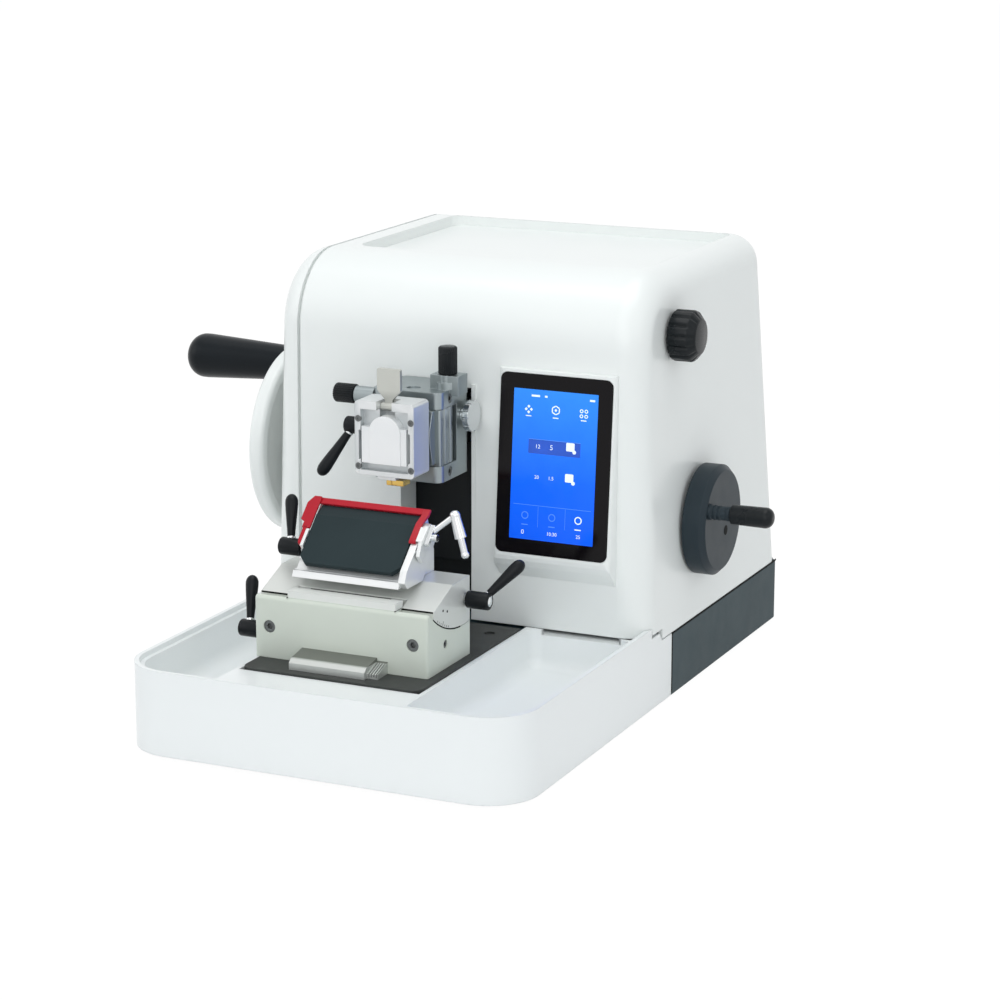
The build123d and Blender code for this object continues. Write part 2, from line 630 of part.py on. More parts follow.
def pan_block():
    body = block(-37, 11, -79, PAN_Y, 183.3, 223.7)
    body += rod("Z", 183.3, 223.7, HEAD_X, PAN_Y, 13.4)
    body += rod("Z", 172, 235, HEAD_X, PAN_Y, 5)
    for x0, x1 in PAN_EARS:
        body += rod("X", x0, x1, TILT_Y, TILT_Z, 8) + block(x0, x1, TILT_Y, -78, TILT_Z - 8, TILT_Z + 8)
    tongue_gap = rod("X", PAN_EARS[0][1], PAN_EARS[1][0], TILT_Y, TILT_Z, 8.6)
    body -= tongue_gap
    return body + rod("X", PAN_EARS[0][0], PAN_EARS[1][1], TILT_Y, TILT_Z, 3)


PAN_EARS = [(-33.0, -26.0), (0.0, 7.0)]
CLAMP_X0, CLAMP_X1, CLAMP_Y0, CLAMP_Y1 = -36.0, 10.0, -115.0, -91.0


def clamp_body():
    body = block(CLAMP_X0, CLAMP_X1, CLAMP_Y0, CLAMP_Y1, 181, 234)
    body = outer_edges(body, Axis.Y, 3)
    # Front cut: a shallow cassette seat with lips at the sides
    body -= block(-31.5, 5.5, CLAMP_Y0 - 1, -109.5, 184.5, 228)
    for x0, x1 in ((-33, -31), (5, 7)):
        body -= block(x0, x1, CLAMP_Y0 - 1, -109.5, 192, 213)
    body -= block(-19, -7, CLAMP_Y0 - 1, -100, 222, 240)
    body += rod("X", -25.8, -0.2, TILT_Y, TILT_Z, 8) + block(-25.8, -0.2, CLAMP_Y1 - 3, TILT_Y, TILT_Z - 8, TILT_Z + 8)
    body -= rod("X", -26, 0, TILT_Y, TILT_Z, 3 + CLEAR)
    for x0, x1 in PAN_EARS:
        body -= rod("X", x0 - 0.4, x1 + 0.4, TILT_Y, TILT_Z, 8.6) & block(-60, 60, -120, -80, 180, 240)
    body += rod("X", -41, CLAMP_X0, -95, 211, 5)
    body += block(-20, -6, -112, -96, 178, 181)
    for x, z in CLAMP_SCREWS:
        body -= rod("Y", CLAMP_Y0 - 1, CLAMP_Y0 + 1.4, x, z, 2.4)
    body -= rod("X", -22, -4, PADDLE_Y, PADDLE_Z, 1.5 + CLEAR)
    return body


CLAMP_SCREWS = [(-33.4, 221.0), (7.6, 221.0), (7.6, 187.0), (-33.4, 187.0)]
PADDLE_Y, PADDLE_Z = -106.0, 229.5


def clamp_screws():
    screws = Part()
    for x, z in CLAMP_SCREWS:
        screws += Pos(x, CLAMP_Y0 + 0.1, z) * Rot(90, 0, 0) * socket_screw(2.35, 1.3, 1.3)
    return screws


def clamp_jaw():
    """Moving cassette jaw: a plate with a rounded top that slides down in the seat."""
    jaw = block(-30.4, 4.4, -115.5, -109.6, 190, 216)
    cap = rod("Y", -116.5, -109.6, HEAD_X + 1, 212.5, 12) & block(-40, 20, -120, -100, 212, 230)
    jaw += block(HEAD_X - 11, HEAD_X + 13, -116.5, -109.6, 190, 212.5) + cap
    return jaw


def brass_stop():
    return block(-14, -1, -110, -99, 174, 178) + rod("Z", 174.5, 178, HEAD_X + 5, -104, 6.5)


def paddle_lever():
    """Thumb paddle on a stem that turns about a cross pin in the clamp."""
    head = prism_y([(-22, 241), (-22, 256.5), (-4, 256.5), (-4, 241), (-10, 234.5), (-16, 234.5)], -107.5, -104.5)
    head = outer_edges(head, Axis.Y, 1.4, lambda c: c.Z > 250)
    stem = block(-16, -10, -107.5, -104.5, 227, 236)
    pin = rod("X", -18.9, -7.1, PADDLE_Y, PADDLE_Z, 3)
    return head + stem + pin + rod("X", -21.5, -4.5, PADDLE_Y, PADDLE_Z, 1.5)


def tilt_knob():
    knob = rod("Z", 246.2, 266.5, 10, -60, 6.8)
    knob = soften(knob, knob.edges(), 1.2)
    return knob + rod("Z", 237, 246.2, 10, -60, 2.5)


def pan_knob():
    knob = rod("X", -71.7, -54.9, -75, 229, 7)
    knob = soften(knob, knob.edges(), 1.2)
    return knob + rod("X", -54.9, -39, -75, 229, 2.5)


def lock_dial():
    dial = rod("X", 19, 23.5, -45, 214, 11.3)
    for k in range(12):
        a = math.radians(30 * k)
        dial -= rod("X", 18, 24, -45 + 11.3 * math.cos(a), 214 + 11.3 * math.sin(a), 0.9)
    return dial + rod("X", 14.2, 19, -45, 214, 5) + rod("X", 6, 14.2, -45, 214, 3)


def lever(hub_x0, hub_x1, y, z, root, direction, length, r_hub=6.15, r_tip=4.6):
    """Clamping lever: a hub along X with a tapered, round-ended arm."""
    hub = rod("X", hub_x0, hub_x1, y, z, r_hub)
    hub = soften(hub, hub.edges(), 0.8)
    d = unit(direction)
    arm = Pos(0, 0, (length - 5) / 2) * Cone(3.4, r_tip, length - 5)
    arm += Pos(0, 0, length - 5) * Sphere(r_tip)
    return hub + aimed((root, y, z), d, arm)


def head_clamp_lever():
    arm = lever(-53, -41.2, -95, 211, -47, (-22, -12.5, -36.2), 44)
    return arm


# Knife holder
HOLD_X0, HOLD_X1, HOLD_Y0, HOLD_Y1 = -77.9, 55.4, -187.6, -119.5
MID_X0, MID_X1 = -53.0, 31.0


def holder_base():
    body = block(HOLD_X0, HOLD_X1, HOLD_Y0, HOLD_Y1, PLATE_TOP, 107)
    raised = block(MID_X0 + 0.4, MID_X1 - 0.4, HOLD_Y0 + 1.6, -175, 106, 112)
    body = outer_edges(body, Axis.X, 3, lambda c: c.Y < -180 and c.Z > 100)
    body = outer_edges(body, Axis.Z, 2)
    seat = rod("X", HOLD_X0 - 1, HOLD_X1 + 1, EDGE_Y, EDGE_Z, SEG_R + GAP)
    body -= seat - block(MID_X0, MID_X1, -200, -175, 80, 120)
    body += raised
    for x in HOLDER_SCREW_X:
        body -= rod("Y", HOLD_Y0 - 1, HOLD_Y0 + 5, x, 85, 4.5)
    body -= rod("X", HOLD_X1 - 4, HOLD_X1 + 1, -160, 80, 3)
    body -= rod("X", HOLD_X0 - 1, HOLD_X0 + 12, -170, 76, 4 + CLEAR)
    return body


HOLDER_SCREW_X = (-66.5, 44.0)


def holder_screws():
    screws = Part()
    for x in HOLDER_SCREW_X:
        screws += Pos(x, HOLD_Y0 + 0.8, 85) * Rot(90, 0, 0) * socket_screw(4.45, 4.2, 4.2)
    screws += Pos(HOLD_X1 - 0.6, -160, 80) * Rot(0, 90, 0) * socket_screw(2.95, 3.4, 3.4)
    return screws


def base_clamp_pad():
    pad = prism_x([(HOLD_Y0, PLATE_TOP), (-207, PLATE_TOP), (-207, 67.5), (-204, 70), (HOLD_Y0, 73)], -41, 17)
    tail = prism_x([(HOLD_Y0, PLATE_TOP), (-203, PLATE_TOP), (-203, 66), (HOLD_Y0, 71)], 17, 25)
    for k in range(4):
        x = 18 + k * 1.9
        tail -= block(x, x + 0.8, -205, HOLD_Y0 - 1.5, 63.5, 75)
    return pad + tail


def base_lock_lever():
    arm = lever(-99, -80, -170, 76, -92, (-5, 14, 35), 38)
    return arm + rod("X", -80.5, HOLD_X0 + 11, -170, 76, 4)


def tilt_segment():
    outer = prism_x([(-178, 95), (-178, 107), (-148, 119), (-121, 119.5), (-121, 80), (-178, 80)], HOLD_X0, HOLD_X1)
    body = outer & rod("X", HOLD_X0 - 1, HOLD_X1 + 1, EDGE_Y, EDGE_Z, SEG_R)
    body -= block(MID_X0, MID_X1, -190, -168, 70, 130)
    body -= rod("X", HOLD_X1 - 14, HOLD_X1 + 1, -128, 104, 4 + CLEAR)
    return outer_edges(body, Axis.X, 1.0, lambda c: c.Z > 106)


def segment_lever():
    arm = lever(57, 74.3, -128, 104, 68, (22, 19, 25), 40)
    return arm + rod("X", HOLD_X1 - 13, 57.5, -128, 104, 4)


BH_X0, BH_X1 = -54.0, 28.0


def blade_holder():
    bottom = 119.6
    core = prism_x([(-175, bottom), (-121, bottom), (-121, 135), (-131.5, 161.5), (-133, EDGE_Z - 0.3), (-175, 122.5)],
                   BH_X0, BH_X1)
    core = core - slope_block(-90, 60, -10, 80, -0.5, 30)
    lip = prism_x([(-177, bottom), (-165, bottom), (-165, 124), (-175, 124)], BH_X0, BH_X1)
    core += lip - slope_block(-90, 60, -10, 53, -0.5, 30)
    core -= slope_block(-90, 60, 46, 54, -2.2, 0)
    cheek = slope_side([(8, -16), (8, 2.5), (12, 5), (50, 6), (58, 3), (58, -8), (40, -20)], BH_X1, BH_X1 + 5)
    cheek = cheek & block(-100, 100, -200, -100, bottom, 200)
    core += cheek + slope_side([(25, -2), (25, 5.5), (39, 5.5), (39, -2)], BH_X0, BH_X0 + 2.2)
    core -= rod("X", BH_X0 - 1, BH_X0 + 12, LEVER_Y, LEVER_Z, 4 + CLEAR)
    core -= rod("X", BH_X0 - 1, BH_X0 + 5, GUARD_Y, GUARD_Z, 1.5 + CLEAR)
    core -= rod("X", BH_X1 + 0.4, BH_X1 + 6, GUARD_Y, GUARD_Z, 1.5 + CLEAR)
    return core


LEVER_Y, LEVER_Z = -150.0, 133.0
BLADE_T = 0.4


def blade():
    return slope_side([(0, 0), (-0.0, -0.05), (1.0, -BLADE_T), (14, -BLADE_T), (14, 0)], -52, 27)


def pressure_plate():
    body = slope_side([(2.0, 0.1), (2.0, 0.9), (12, 4), (51.5, 4), (51.5, 0.1)], -51.5, 26)
    trim = slope_prism([(-60, 46), (-51.6, 46), (-46, 52), (-46, 60), (-60, 60)], -5, 10)
    trim += slope_prism([(34, 46), (26.1, 46), (20, 52), (20, 60), (34, 60)], -5, 10)
    return body - trim


def blade_lever():
    arm = lever(-77, -59.5, LEVER_Y, LEVER_Z, -69, (-7, 15, 33), 38)
    return arm + rod("X", -60, BH_X0 + 11, LEVER_Y, LEVER_Z, 4)


def finger_guard():
    bar = block(-57, 35.6, -135.4, -132.6, 164, 167.5)
    left = slope_prism([(-57.6, -5), (-54.4, -5), (-54.4, 33), (-57.6, 33)], 1.5, 4.5)
    wing = slope_prism([(-62, 8), (-57, -5), (-54.4, -5), (-54.4, 24), (-59, 24), (-59, 20), (-62, 18)], 3.0, 4.5)
    right = slope_prism([(33.4, -5), (36.6, -5), (36.6, 33), (33.4, 33)], 1.5, 4.5)
    guard = bar + left + wing + right
    for x0, x1, pin0, pin1 in ((-57.6, -54.4, -54.4, -52.3), (33.4, 36.6, 28.5, 33.4)):
        guard += slope_side([(28, 4.5), (28, -4), (36, -4), (36, 4.5)], x0, x1)
        guard += rod("X", pin0, pin1, GUARD_Y, GUARD_Z, 1.5)
    return guard


def guard_lever():
    """Silver handle on the right leg of the guard."""
    link = slope_side([(10, 4.5), (26, 4.5), (26, 1.5), (10, 1.5)], 36.6, 40)
    top = (53.5, -140.0, 166.0)
    start = (38.5, -143.5, 153.5)
    run = tuple(b - a for a, b in zip(start, top))
    length = math.sqrt(sum(c * c for c in run))
    bridge = aimed(start, unit(run), Pos(0, 0, length / 2) * Cylinder(2.0, length))
    fall = (8.2, 0, -29.5)
    cone = aimed(top, unit(fall), Pos(0, 0, 8) * Cone(3.4, 4.2, 16) + Pos(0, 0, 21) * Cylinder(2.4, 14))
    tip = tuple(t + 28 * c for t, c in zip(top, unit(fall)))
    pin = rod("X", 36.6, 43, -146, 150, 2.6)
    return link + bridge + cone + Pos(*top) * Sphere(3.6) + Pos(*tip) * Sphere(2.9) + pin


# Wheels on the right side
CO_X0, CO_X1, CO_R = HALF_W + 0.7, HALF_W + 17.5, 41.0
CRANK_X1 = CO_X1 + 49.0    # end of the crank's handle


def coarse_wheel():
    wheel = rod("X", CO_X0, CO_X1, COARSE_Y, COARSE_Z, CO_R)
    face = wheel.edges().group_by(Axis.X)[-1]
    wheel = chamfer(face, 4)
    wheel -= rod("X", CO_X0 - 1, CO_X0 + 8, COARSE_Y, COARSE_Z, COARSE_SHAFT_R)
    wheel -= rod("X", CO_X1 - 5, CO_X1 + 1, COARSE_Y + 6, COARSE_Z - 9, 2)
    wheel += rod("X", CO_X1 - 1, CRANK_X1 - 31.6, CRANK_Y, CRANK_Z, 5)
    wheel += rod("X", CRANK_X1 - 31.6, CRANK_X1 - 5, CRANK_Y, CRANK_Z, 2.5)
    return wheel


CRANK_ANGLE = math.radians(155.8)
CRANK_Y = COARSE_Y + 31 * math.cos(CRANK_ANGLE)
CRANK_Z = COARSE_Z + 31 * math.sin(CRANK_ANGLE)


def coarse_shaft():
    return rod("X", FRAME_X1 - 16, CO_X0 + 8, COARSE_Y, COARSE_Z, COARSE_SHAFT_R)


def coarse_grip():
    grip = rod("X", CRANK_X1 - 31.3, CRANK_X1, CRANK_Y, CRANK_Z, 7.2, 7.7)
    grip = soften(grip, grip.edges().group_by(Axis.X)[-1], 6)
    return grip - rod("X", CRANK_X1 - 32, CRANK_X1 - 4, CRANK_Y, CRANK_Z, 2.5 + CLEAR)


def balance_knob():
    start = HALF_W - 4.2
    knob = rod("X", start, start + 20.2, KNOB_Y, KNOB_Z, 18.5)
    knob = soften(knob, knob.edges().group_by(Axis.X)[-1], 3)
    for k in range(24):
        a = math.radians(15 * k)
        knob -= rod("X", start + 1.7, start + 22, KNOB_Y + 19.2 * math.cos(a), KNOB_Z + 19.2 * math.sin(a), 1.5)
    return knob + rod("X", start - 15.3, start, KNOB_Y, KNOB_Z, KNOB_SHAFT_R)


# Output
def main():
    os.makedirs("parts", exist_ok=True)
    body, cover = housing_split()
    nodes = {
        "housing_shell": housing_body(body),
        "left_side_cover": left_cover(cover),
    }
    makers = [
        base_casting, rubber_feet, holder_plate, rear_panel, power_inlet, rocker_switch, waste_tray,
        frame_column, guide_rails, shaft_bearings, shaft_bushes, cover_screws, slot_apron, screen_glass,
        display_panel, control_board, power_supply, handwheel, hub_cap, main_shaft, crank_disc, crank_roller,
        grip_spindle, handwheel_grip, carriage, yoke_plate, slot_cover, feed_motor, feed_screw, feed_slide,
        head_carrier, head_screws, pan_block, clamp_body, clamp_screws, clamp_jaw, brass_stop, paddle_lever,
        tilt_knob, pan_knob, lock_dial, head_clamp_lever, holder_base, holder_screws, base_clamp_pad,
        base_lock_lever, tilt_segment, segment_lever, blade_holder, blade, pressure_plate, blade_lever,
        finger_guard, guard_lever, coarse_wheel, coarse_shaft, coarse_grip, balance_knob,
    ]
    for maker in makers:
        nodes[maker.__name__] = maker()
    middle = (GRIP_END + CRANK_X1) / 2
    for name, shape in nodes.items():
        export_step(Pos(-middle, 0, 0) * shape, f"parts/{name}.step")
        print(name, "solids", len(shape.solids()), "volume", round(shape.volume))


if __name__ == "__main__":
    main()
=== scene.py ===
"""Looks of the rotary microtome: finishes, trim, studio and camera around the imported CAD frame.

Blender works in metres in the CAD frame: +Z up, the front towards -Y and the origin under the
middle of the outline. The classes hold their sizes in millimetres, measured from the body's
centre plane, and the function at() turns such a point into one of the frame.
"""

import logging
import math
from collections.abc import Sequence
from dataclasses import dataclass, field
from enum import Enum

import bmesh
import bpy
from mathutils import Matrix, Vector

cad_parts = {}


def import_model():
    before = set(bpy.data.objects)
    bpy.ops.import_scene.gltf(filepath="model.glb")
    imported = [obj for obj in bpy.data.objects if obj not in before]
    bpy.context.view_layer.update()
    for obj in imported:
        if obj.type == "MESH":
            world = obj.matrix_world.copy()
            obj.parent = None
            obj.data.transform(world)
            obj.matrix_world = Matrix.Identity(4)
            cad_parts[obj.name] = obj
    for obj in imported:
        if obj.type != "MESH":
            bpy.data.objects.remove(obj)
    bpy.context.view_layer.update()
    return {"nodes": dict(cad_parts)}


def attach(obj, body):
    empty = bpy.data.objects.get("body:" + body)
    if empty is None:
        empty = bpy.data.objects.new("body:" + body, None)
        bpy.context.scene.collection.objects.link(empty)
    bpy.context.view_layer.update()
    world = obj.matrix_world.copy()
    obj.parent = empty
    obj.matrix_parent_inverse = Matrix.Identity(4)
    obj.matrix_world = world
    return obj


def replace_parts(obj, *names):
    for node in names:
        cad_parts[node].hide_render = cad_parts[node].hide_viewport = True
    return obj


Colour = tuple[float, float, float]
Point = tuple[float, float, float]
Outline = Sequence[tuple[float, float]]
Socket = bpy.types.NodeSocket
Tree = bpy.types.NodeTree

log = logging.getLogger("microtome")
MM = 0.001
BODY_X = 22.0  # from the middle of the outline to the body's centre plane, millimetres

PATCH_STOPS = (0.3, 0.7)  # noise between which the shade of a patch changes
ROUGH_PATCH = 0.3  # size of a patch of roughness beside one of colour
MIN_ROUGHNESS = 0.02
COAT_ROUGHNESS = 0.08
SURFACE_IOR = 1.5
COLOUR_DETAIL = 3.0  # octaves of the noise in colour and roughness
RELIEF_DETAIL = 2.0  # octaves of the noise in relief
RELIEF_DEPTH = 0.0004
EDGE_SAMPLES = 4
CAP_BLEND = 0.0002  # height over which the colour of a cap sets in
WEAR_AND_HIGHLIGHT_STOPS = (0.52, 0.6)  # pointiness between which an edge gets wear and a painted highlight
WEAR_AND_HIGHLIGHT_GAIN = 1.6  # an edge with wear and a painted highlight is this much brighter than its finish, and by this much more
WEAR_AND_HIGHLIGHT_LIFT = 0.12  # and by this much more
BLACK: Colour = (0.0, 0.0, 0.0)
WHITE: Colour = (1.0, 1.0, 1.0)

RIB_STEPS = 4  # segments of one rib of a knurl and its groove
KNURLED_FROM = 0.6  # share of the barrel's radius above which the knurl cuts
WELD = 1e-6
SHARP_DEGREES = 35


def mm(*values: float) -> tuple[float, ...]:
    """Turn millimetres into metres."""
    return tuple(v * MM for v in values)


def at(x: float, y: float, z: float) -> Point:
    """Place in metres of a point measured in millimetres from the body's centre plane.

    Args:
        x: Millimetres to the right of the centre plane.
        y: Millimetres to the rear.
        z: Millimetres above the bench.

    Returns:
        The point in the frame, whose origin lies under the middle of the outline.
    """
    return ((x + BODY_X) * MM, y * MM, z * MM)


def placed(name: str, data: bpy.types.ID) -> bpy.types.Object:
    """Put an object into the scene.

    Args:
        name: Name of the object.
        data: Its mesh, curve, camera or lamp.

    Returns:
        The object.
    """
    made = bpy.data.objects.new(name, data)
    bpy.context.scene.collection.objects.link(made)
    return made


def look(thing: bpy.types.Object, place: Point, target: Point) -> None:
    """Stand a camera or a lamp at a place and turn it to a target.

    Args:
        thing: The camera or lamp.
        place: Where it stands, in metres.
        target: What it looks at, in metres.
    """
    thing.location = place
    aim = Vector(target) - Vector(place)
    thing.rotation_euler = aim.to_track_quat("-Z", "Y").to_euler()


def blank_material(name: str) -> tuple[bpy.types.Material, Tree, bpy.types.Node]:
    """Start a material of nodes.

    Args:
        name: Name of the material.

    Returns:
        The material, its node tree and its Principled node.
    """
    made = bpy.data.materials.new(name)
    made.use_nodes = True
    return made, made.node_tree, made.node_tree.nodes["Principled BSDF"]


def noise(tree: Tree, where: Socket, size: float, detail: float) -> Socket:
    """A noise texture whose cells are about one size across.

    Args:
        tree: The node tree to add to.
        where: The vector socket to read.
        size: Width of a cell in metres.
        detail: Octaves of the noise.

    Returns:
        The factor socket.
    """
    node = tree.nodes.new("ShaderNodeTexNoise")
    node.inputs["Scale"].default_value = 1.0 / size
    node.inputs["Detail"].default_value = detail
    tree.links.new(where, node.inputs["Vector"])
    return node.outputs["Fac"]


def object_place(tree: Tree) -> Socket:
    """Coordinates of the shaded point in object space."""
    return tree.nodes.new("ShaderNodeTexCoord").outputs["Object"]


def object_height(tree: Tree) -> Socket:
    """Height of the shaded point in object space.

    Args:
        tree: The node tree to add to.

    Returns:
        The socket of the height in metres.
    """
    split = tree.nodes.new("ShaderNodeSeparateXYZ")
    tree.links.new(object_place(tree), split.inputs["Vector"])
    return split.outputs["Z"]


def math_node(
    tree: Tree, operation: str, first: Socket, second: Socket | float, third: Socket | None = None
) -> Socket:
    """Combine a value with another socket or with a number.

    Args:
        tree: The node tree to add to.
        operation: Blender's name of the operation.
        first: The first value.
        second: The second value.
        third: The third value, for an operation that has one.

    Returns:
        The socket of the result.
    """
    node = tree.nodes.new("ShaderNodeMath")
    node.operation = operation
    tree.links.new(first, node.inputs[0])
    if isinstance(second, float):
        node.inputs[1].default_value = second
    else:
        tree.links.new(second, node.inputs[1])
    if third is not None:
        tree.links.new(third, node.inputs[2])
    return node.outputs["Value"]


def map_range(
    tree: Tree,
    value: Socket,
    source: tuple[float, float] = (0.0, 1.0),
    target: tuple[float, float] = (0.0, 1.0),
) -> Socket:
    """Stretch a value from one range to another.

    Args:
        tree: The node tree to add to.
        value: The value to stretch.
        source: Its lowest and highest number.
        target: The numbers that they become.

    Returns:
        The socket of the result.
    """
    node = tree.nodes.new("ShaderNodeMapRange")
    names = ("From Min", "From Max", "To Min", "To Max")
    for name, number in zip(names, (*source, *target)):
        node.inputs[name].default_value = number
    tree.links.new(value, node.inputs["Value"])
    return node.outputs["Result"]


def colour_ramp(tree: Tree, value: Socket, stops: Sequence[tuple[float, Colour]]) -> Socket:
    """Colour a value by stops.

    Args:
        tree: The node tree to add to.
        value: The value to colour.
        stops: (position, colour) pairs in rising order.

    Returns:
        The colour socket.
    """
    node = tree.nodes.new("ShaderNodeValToRGB")
    elements = node.color_ramp.elements
    while len(elements) < len(stops):
        elements.new(0.5)
    for element, (position, colour) in zip(elements, stops):
        element.position = position
        element.color = (*colour, 1)
    tree.links.new(value, node.inputs["Fac"])
    return node.outputs["Color"]


def mix_colour(tree: Tree, share: Socket, first: Socket, colour: Colour) -> Socket:
    """Mix a fixed colour into a colour socket.

    Args:
        tree: The node tree to add to.
        share: Share of the fixed colour.
        first: The colour to mix into.
        colour: The fixed colour.

    Returns:
        The mixed colour socket.
    """
    mix = tree.nodes.new("ShaderNodeMix")
    mix.data_type = "RGBA"
    mix.inputs[7].default_value = (*colour, 1)
    tree.links.new(share, mix.inputs[0])
    tree.links.new(first, mix.inputs[6])
    return mix.outputs[2]


def mix_shaders(tree: Tree, share: Socket, first: Socket, second: Socket) -> Socket:
    """Mix two shaders.

    Args:
        tree: The node tree to add to.
        share: Share of the second shader.
        first: The first shader.
        second: The second shader.

    Returns:
        The mixed shader socket.
    """
    mix = tree.nodes.new("ShaderNodeMixShader")
    tree.links.new(share, mix.inputs["Fac"])
    tree.links.new(first, mix.inputs[1])
    tree.links.new(second, mix.inputs[2])
    return mix.outputs["Shader"]


class Grain(Enum):
    """How the fine texture of a finish runs, as the scale of its coordinates."""

    EVEN = (1, 1, 1)
    BRUSHED_X = (0.03, 1, 1)
    BRUSHED_Z = (1, 1, 0.03)


@dataclass(frozen=True)
class Finish:
    """One surface finish, drawn with procedural nodes in object space."""

    name: str
    colour: Colour
    roughness: float = 0.4
    metallic: float = 0.0
    coat: float = 0.0
    shade: float = 0.06
    patch_size: float = 0.05
    bump: float = 0.03
    bump_size: float = 0.0009
    roughness_spread: float = 0.06
    edge_radius: float = 0.0005
    # share of sharp edges lightened: wear, and a painted highlight as well
    edge_wear_and_highlight: float = 0.0
    grain: Grain = Grain.EVEN
    specular: float = 0.5
    emission: float = 0.0
    cap_colour: Colour | None = None
    cap_height: float = 0.0

    def material(self) -> bpy.types.Material:
        """Build the material once and return it afterwards.

        Returns:
            The Blender material of this finish.
        """
        found = bpy.data.materials.get(self.name)
        if found is not None:
            return found
        made, tree, shader = blank_material(self.name)
        shader.inputs["Metallic"].default_value = self.metallic
        shader.inputs["IOR"].default_value = SURFACE_IOR
        shader.inputs["Coat Weight"].default_value = self.coat
        shader.inputs["Coat Roughness"].default_value = COAT_ROUGHNESS
        shader.inputs["Specular IOR Level"].default_value = self.specular
        mapping = tree.nodes.new("ShaderNodeMapping")
        mapping.inputs["Scale"].default_value = self.grain.value
        tree.links.new(object_place(tree), mapping.inputs["Vector"])
        where = mapping.outputs["Vector"]
        colour = self._colour(tree, where)
        tree.links.new(colour, shader.inputs["Base Color"])
        if self.emission > 0:
            tree.links.new(colour, shader.inputs["Emission Color"])
            shader.inputs["Emission Strength"].default_value = self.emission
        tree.links.new(self._roughness(tree, where), shader.inputs["Roughness"])
        tree.links.new(self._relief(tree, where), shader.inputs["Normal"])
        return made

    def _colour(self, tree: Tree, where: Socket) -> Socket:
        """Vary the colour softly in patches, colour the cap, and lighten sharp edges as wear and
        as a painted highlight.

        Args:
            tree: The material's node tree.
            where: The vector socket to read.

        Returns:
            The colour socket.
        """
        shaded = tuple(c * (1.0 - self.shade) for c in self.colour)
        stops = tuple(zip(PATCH_STOPS, (shaded, self.colour)))
        patches = noise(tree, where, self.patch_size, COLOUR_DETAIL)
        out = colour_ramp(tree, patches, stops)
        if self.cap_colour is not None:
            ends = (self.cap_height, self.cap_height + CAP_BLEND)
            above = map_range(tree, object_height(tree), ends)
            out = mix_colour(tree, above, out, self.cap_colour)
        # sharp edges lightened by pointiness: wear, and a painted highlight
        if self.edge_wear_and_highlight > 0:
            geometry = tree.nodes.new("ShaderNodeNewGeometry")
            stops = tuple(zip(WEAR_AND_HIGHLIGHT_STOPS, (BLACK, WHITE)))
            lightened_edges = colour_ramp(tree, geometry.outputs["Pointiness"], stops)
            share = math_node(tree, "MULTIPLY", lightened_edges, self.edge_wear_and_highlight)
            bright = tuple(min(1.0, c * WEAR_AND_HIGHLIGHT_GAIN + WEAR_AND_HIGHLIGHT_LIFT) for c in self.colour)
            out = mix_colour(tree, share, out, bright)
        return out

    def _roughness(self, tree: Tree, where: Socket) -> Socket:
        """Vary the roughness around its value.

        Args:
            tree: The material's node tree.
            where: The vector socket to read.

        Returns:
            The roughness socket.
        """
        low = max(MIN_ROUGHNESS, self.roughness - self.roughness_spread)
        high = min(1.0, self.roughness + self.roughness_spread)
        patches = noise(tree, where, self.patch_size * ROUGH_PATCH, COLOUR_DETAIL)
        return map_range(tree, patches, target=(low, high))

    def _relief(self, tree: Tree, where: Socket) -> Socket:
        """Fine surface relief over softly broken edges.

        Args:
            tree: The material's node tree.
            where: The vector socket to read.

        Returns:
            The normal socket.
        """
        bump = tree.nodes.new("ShaderNodeBump")
        bump.inputs["Strength"].default_value = self.bump
        bump.inputs["Distance"].default_value = RELIEF_DEPTH
        relief = noise(tree, where, self.bump_size, RELIEF_DETAIL)
        tree.links.new(relief, bump.inputs["Height"])
        if self.edge_radius > 0:
            edge = tree.nodes.new("ShaderNodeBevel")
            edge.samples = EDGE_SAMPLES
            edge.inputs["Radius"].default_value = self.edge_radius
            tree.links.new(edge.outputs["Normal"], bump.inputs["Normal"])
        return bump.outputs["Normal"]


# Paint
WHITE_ENAMEL = Finish(
    "white_enamel", (0.87, 0.9, 0.885), 0.34, coat=0.2, shade=0.012, patch_size=0.12,
    roughness_spread=0.015, bump=0.01, bump_size=0.002, edge_radius=0.0009,
)
TRAY_WHITE = Finish(
    "tray_white", (0.88, 0.91, 0.91), 0.3, coat=0.2, shade=0.012, patch_size=0.12,
    roughness_spread=0.015, bump=0.01, bump_size=0.002, edge_radius=0.0009,
)
BASE_SLATE = Finish(
    "base_slate", (0.024, 0.05, 0.06), 0.5, specular=0.22, shade=0.12, bump=0.08,
    bump_size=0.0007, edge_radius=0.0008,
)
PLATE_BLACK = Finish(
    "plate_black", (0.01, 0.012, 0.014), 0.55, specular=0.25, shade=0.15, bump=0.06
)
HOLDER_PLATE_GREY = Finish(
    "holder_plate_grey", (0.04, 0.044, 0.042), 0.5, specular=0.25, shade=0.15, bump=0.06
)
WHEEL_SLATE = Finish(
    "wheel_slate", (0.022, 0.034, 0.043), 0.42, specular=0.18, shade=0.1, bump=0.05,
    edge_radius=0.0012,
)
HOLDER_CREAM = Finish(
    "holder_cream", (0.66, 0.71, 0.635), 0.42, shade=0.04, bump=0.06, bump_size=0.0008,
    edge_radius=0.0008, cap_colour=(0.76, 0.78, 0.75), cap_height=0.1071,
)
PRESS_SLATE = Finish(
    "press_slate", (0.024, 0.038, 0.042), 0.55, specular=0.1, shade=0.12, bump=0.07,
    bump_size=0.0006, edge_radius=0.0006,
)
GUARD_RED = Finish(
    "guard_red", (0.47, 0.006, 0.02), 0.3, specular=0.3, shade=0.08, bump=0.03,
    edge_radius=0.0004,
)
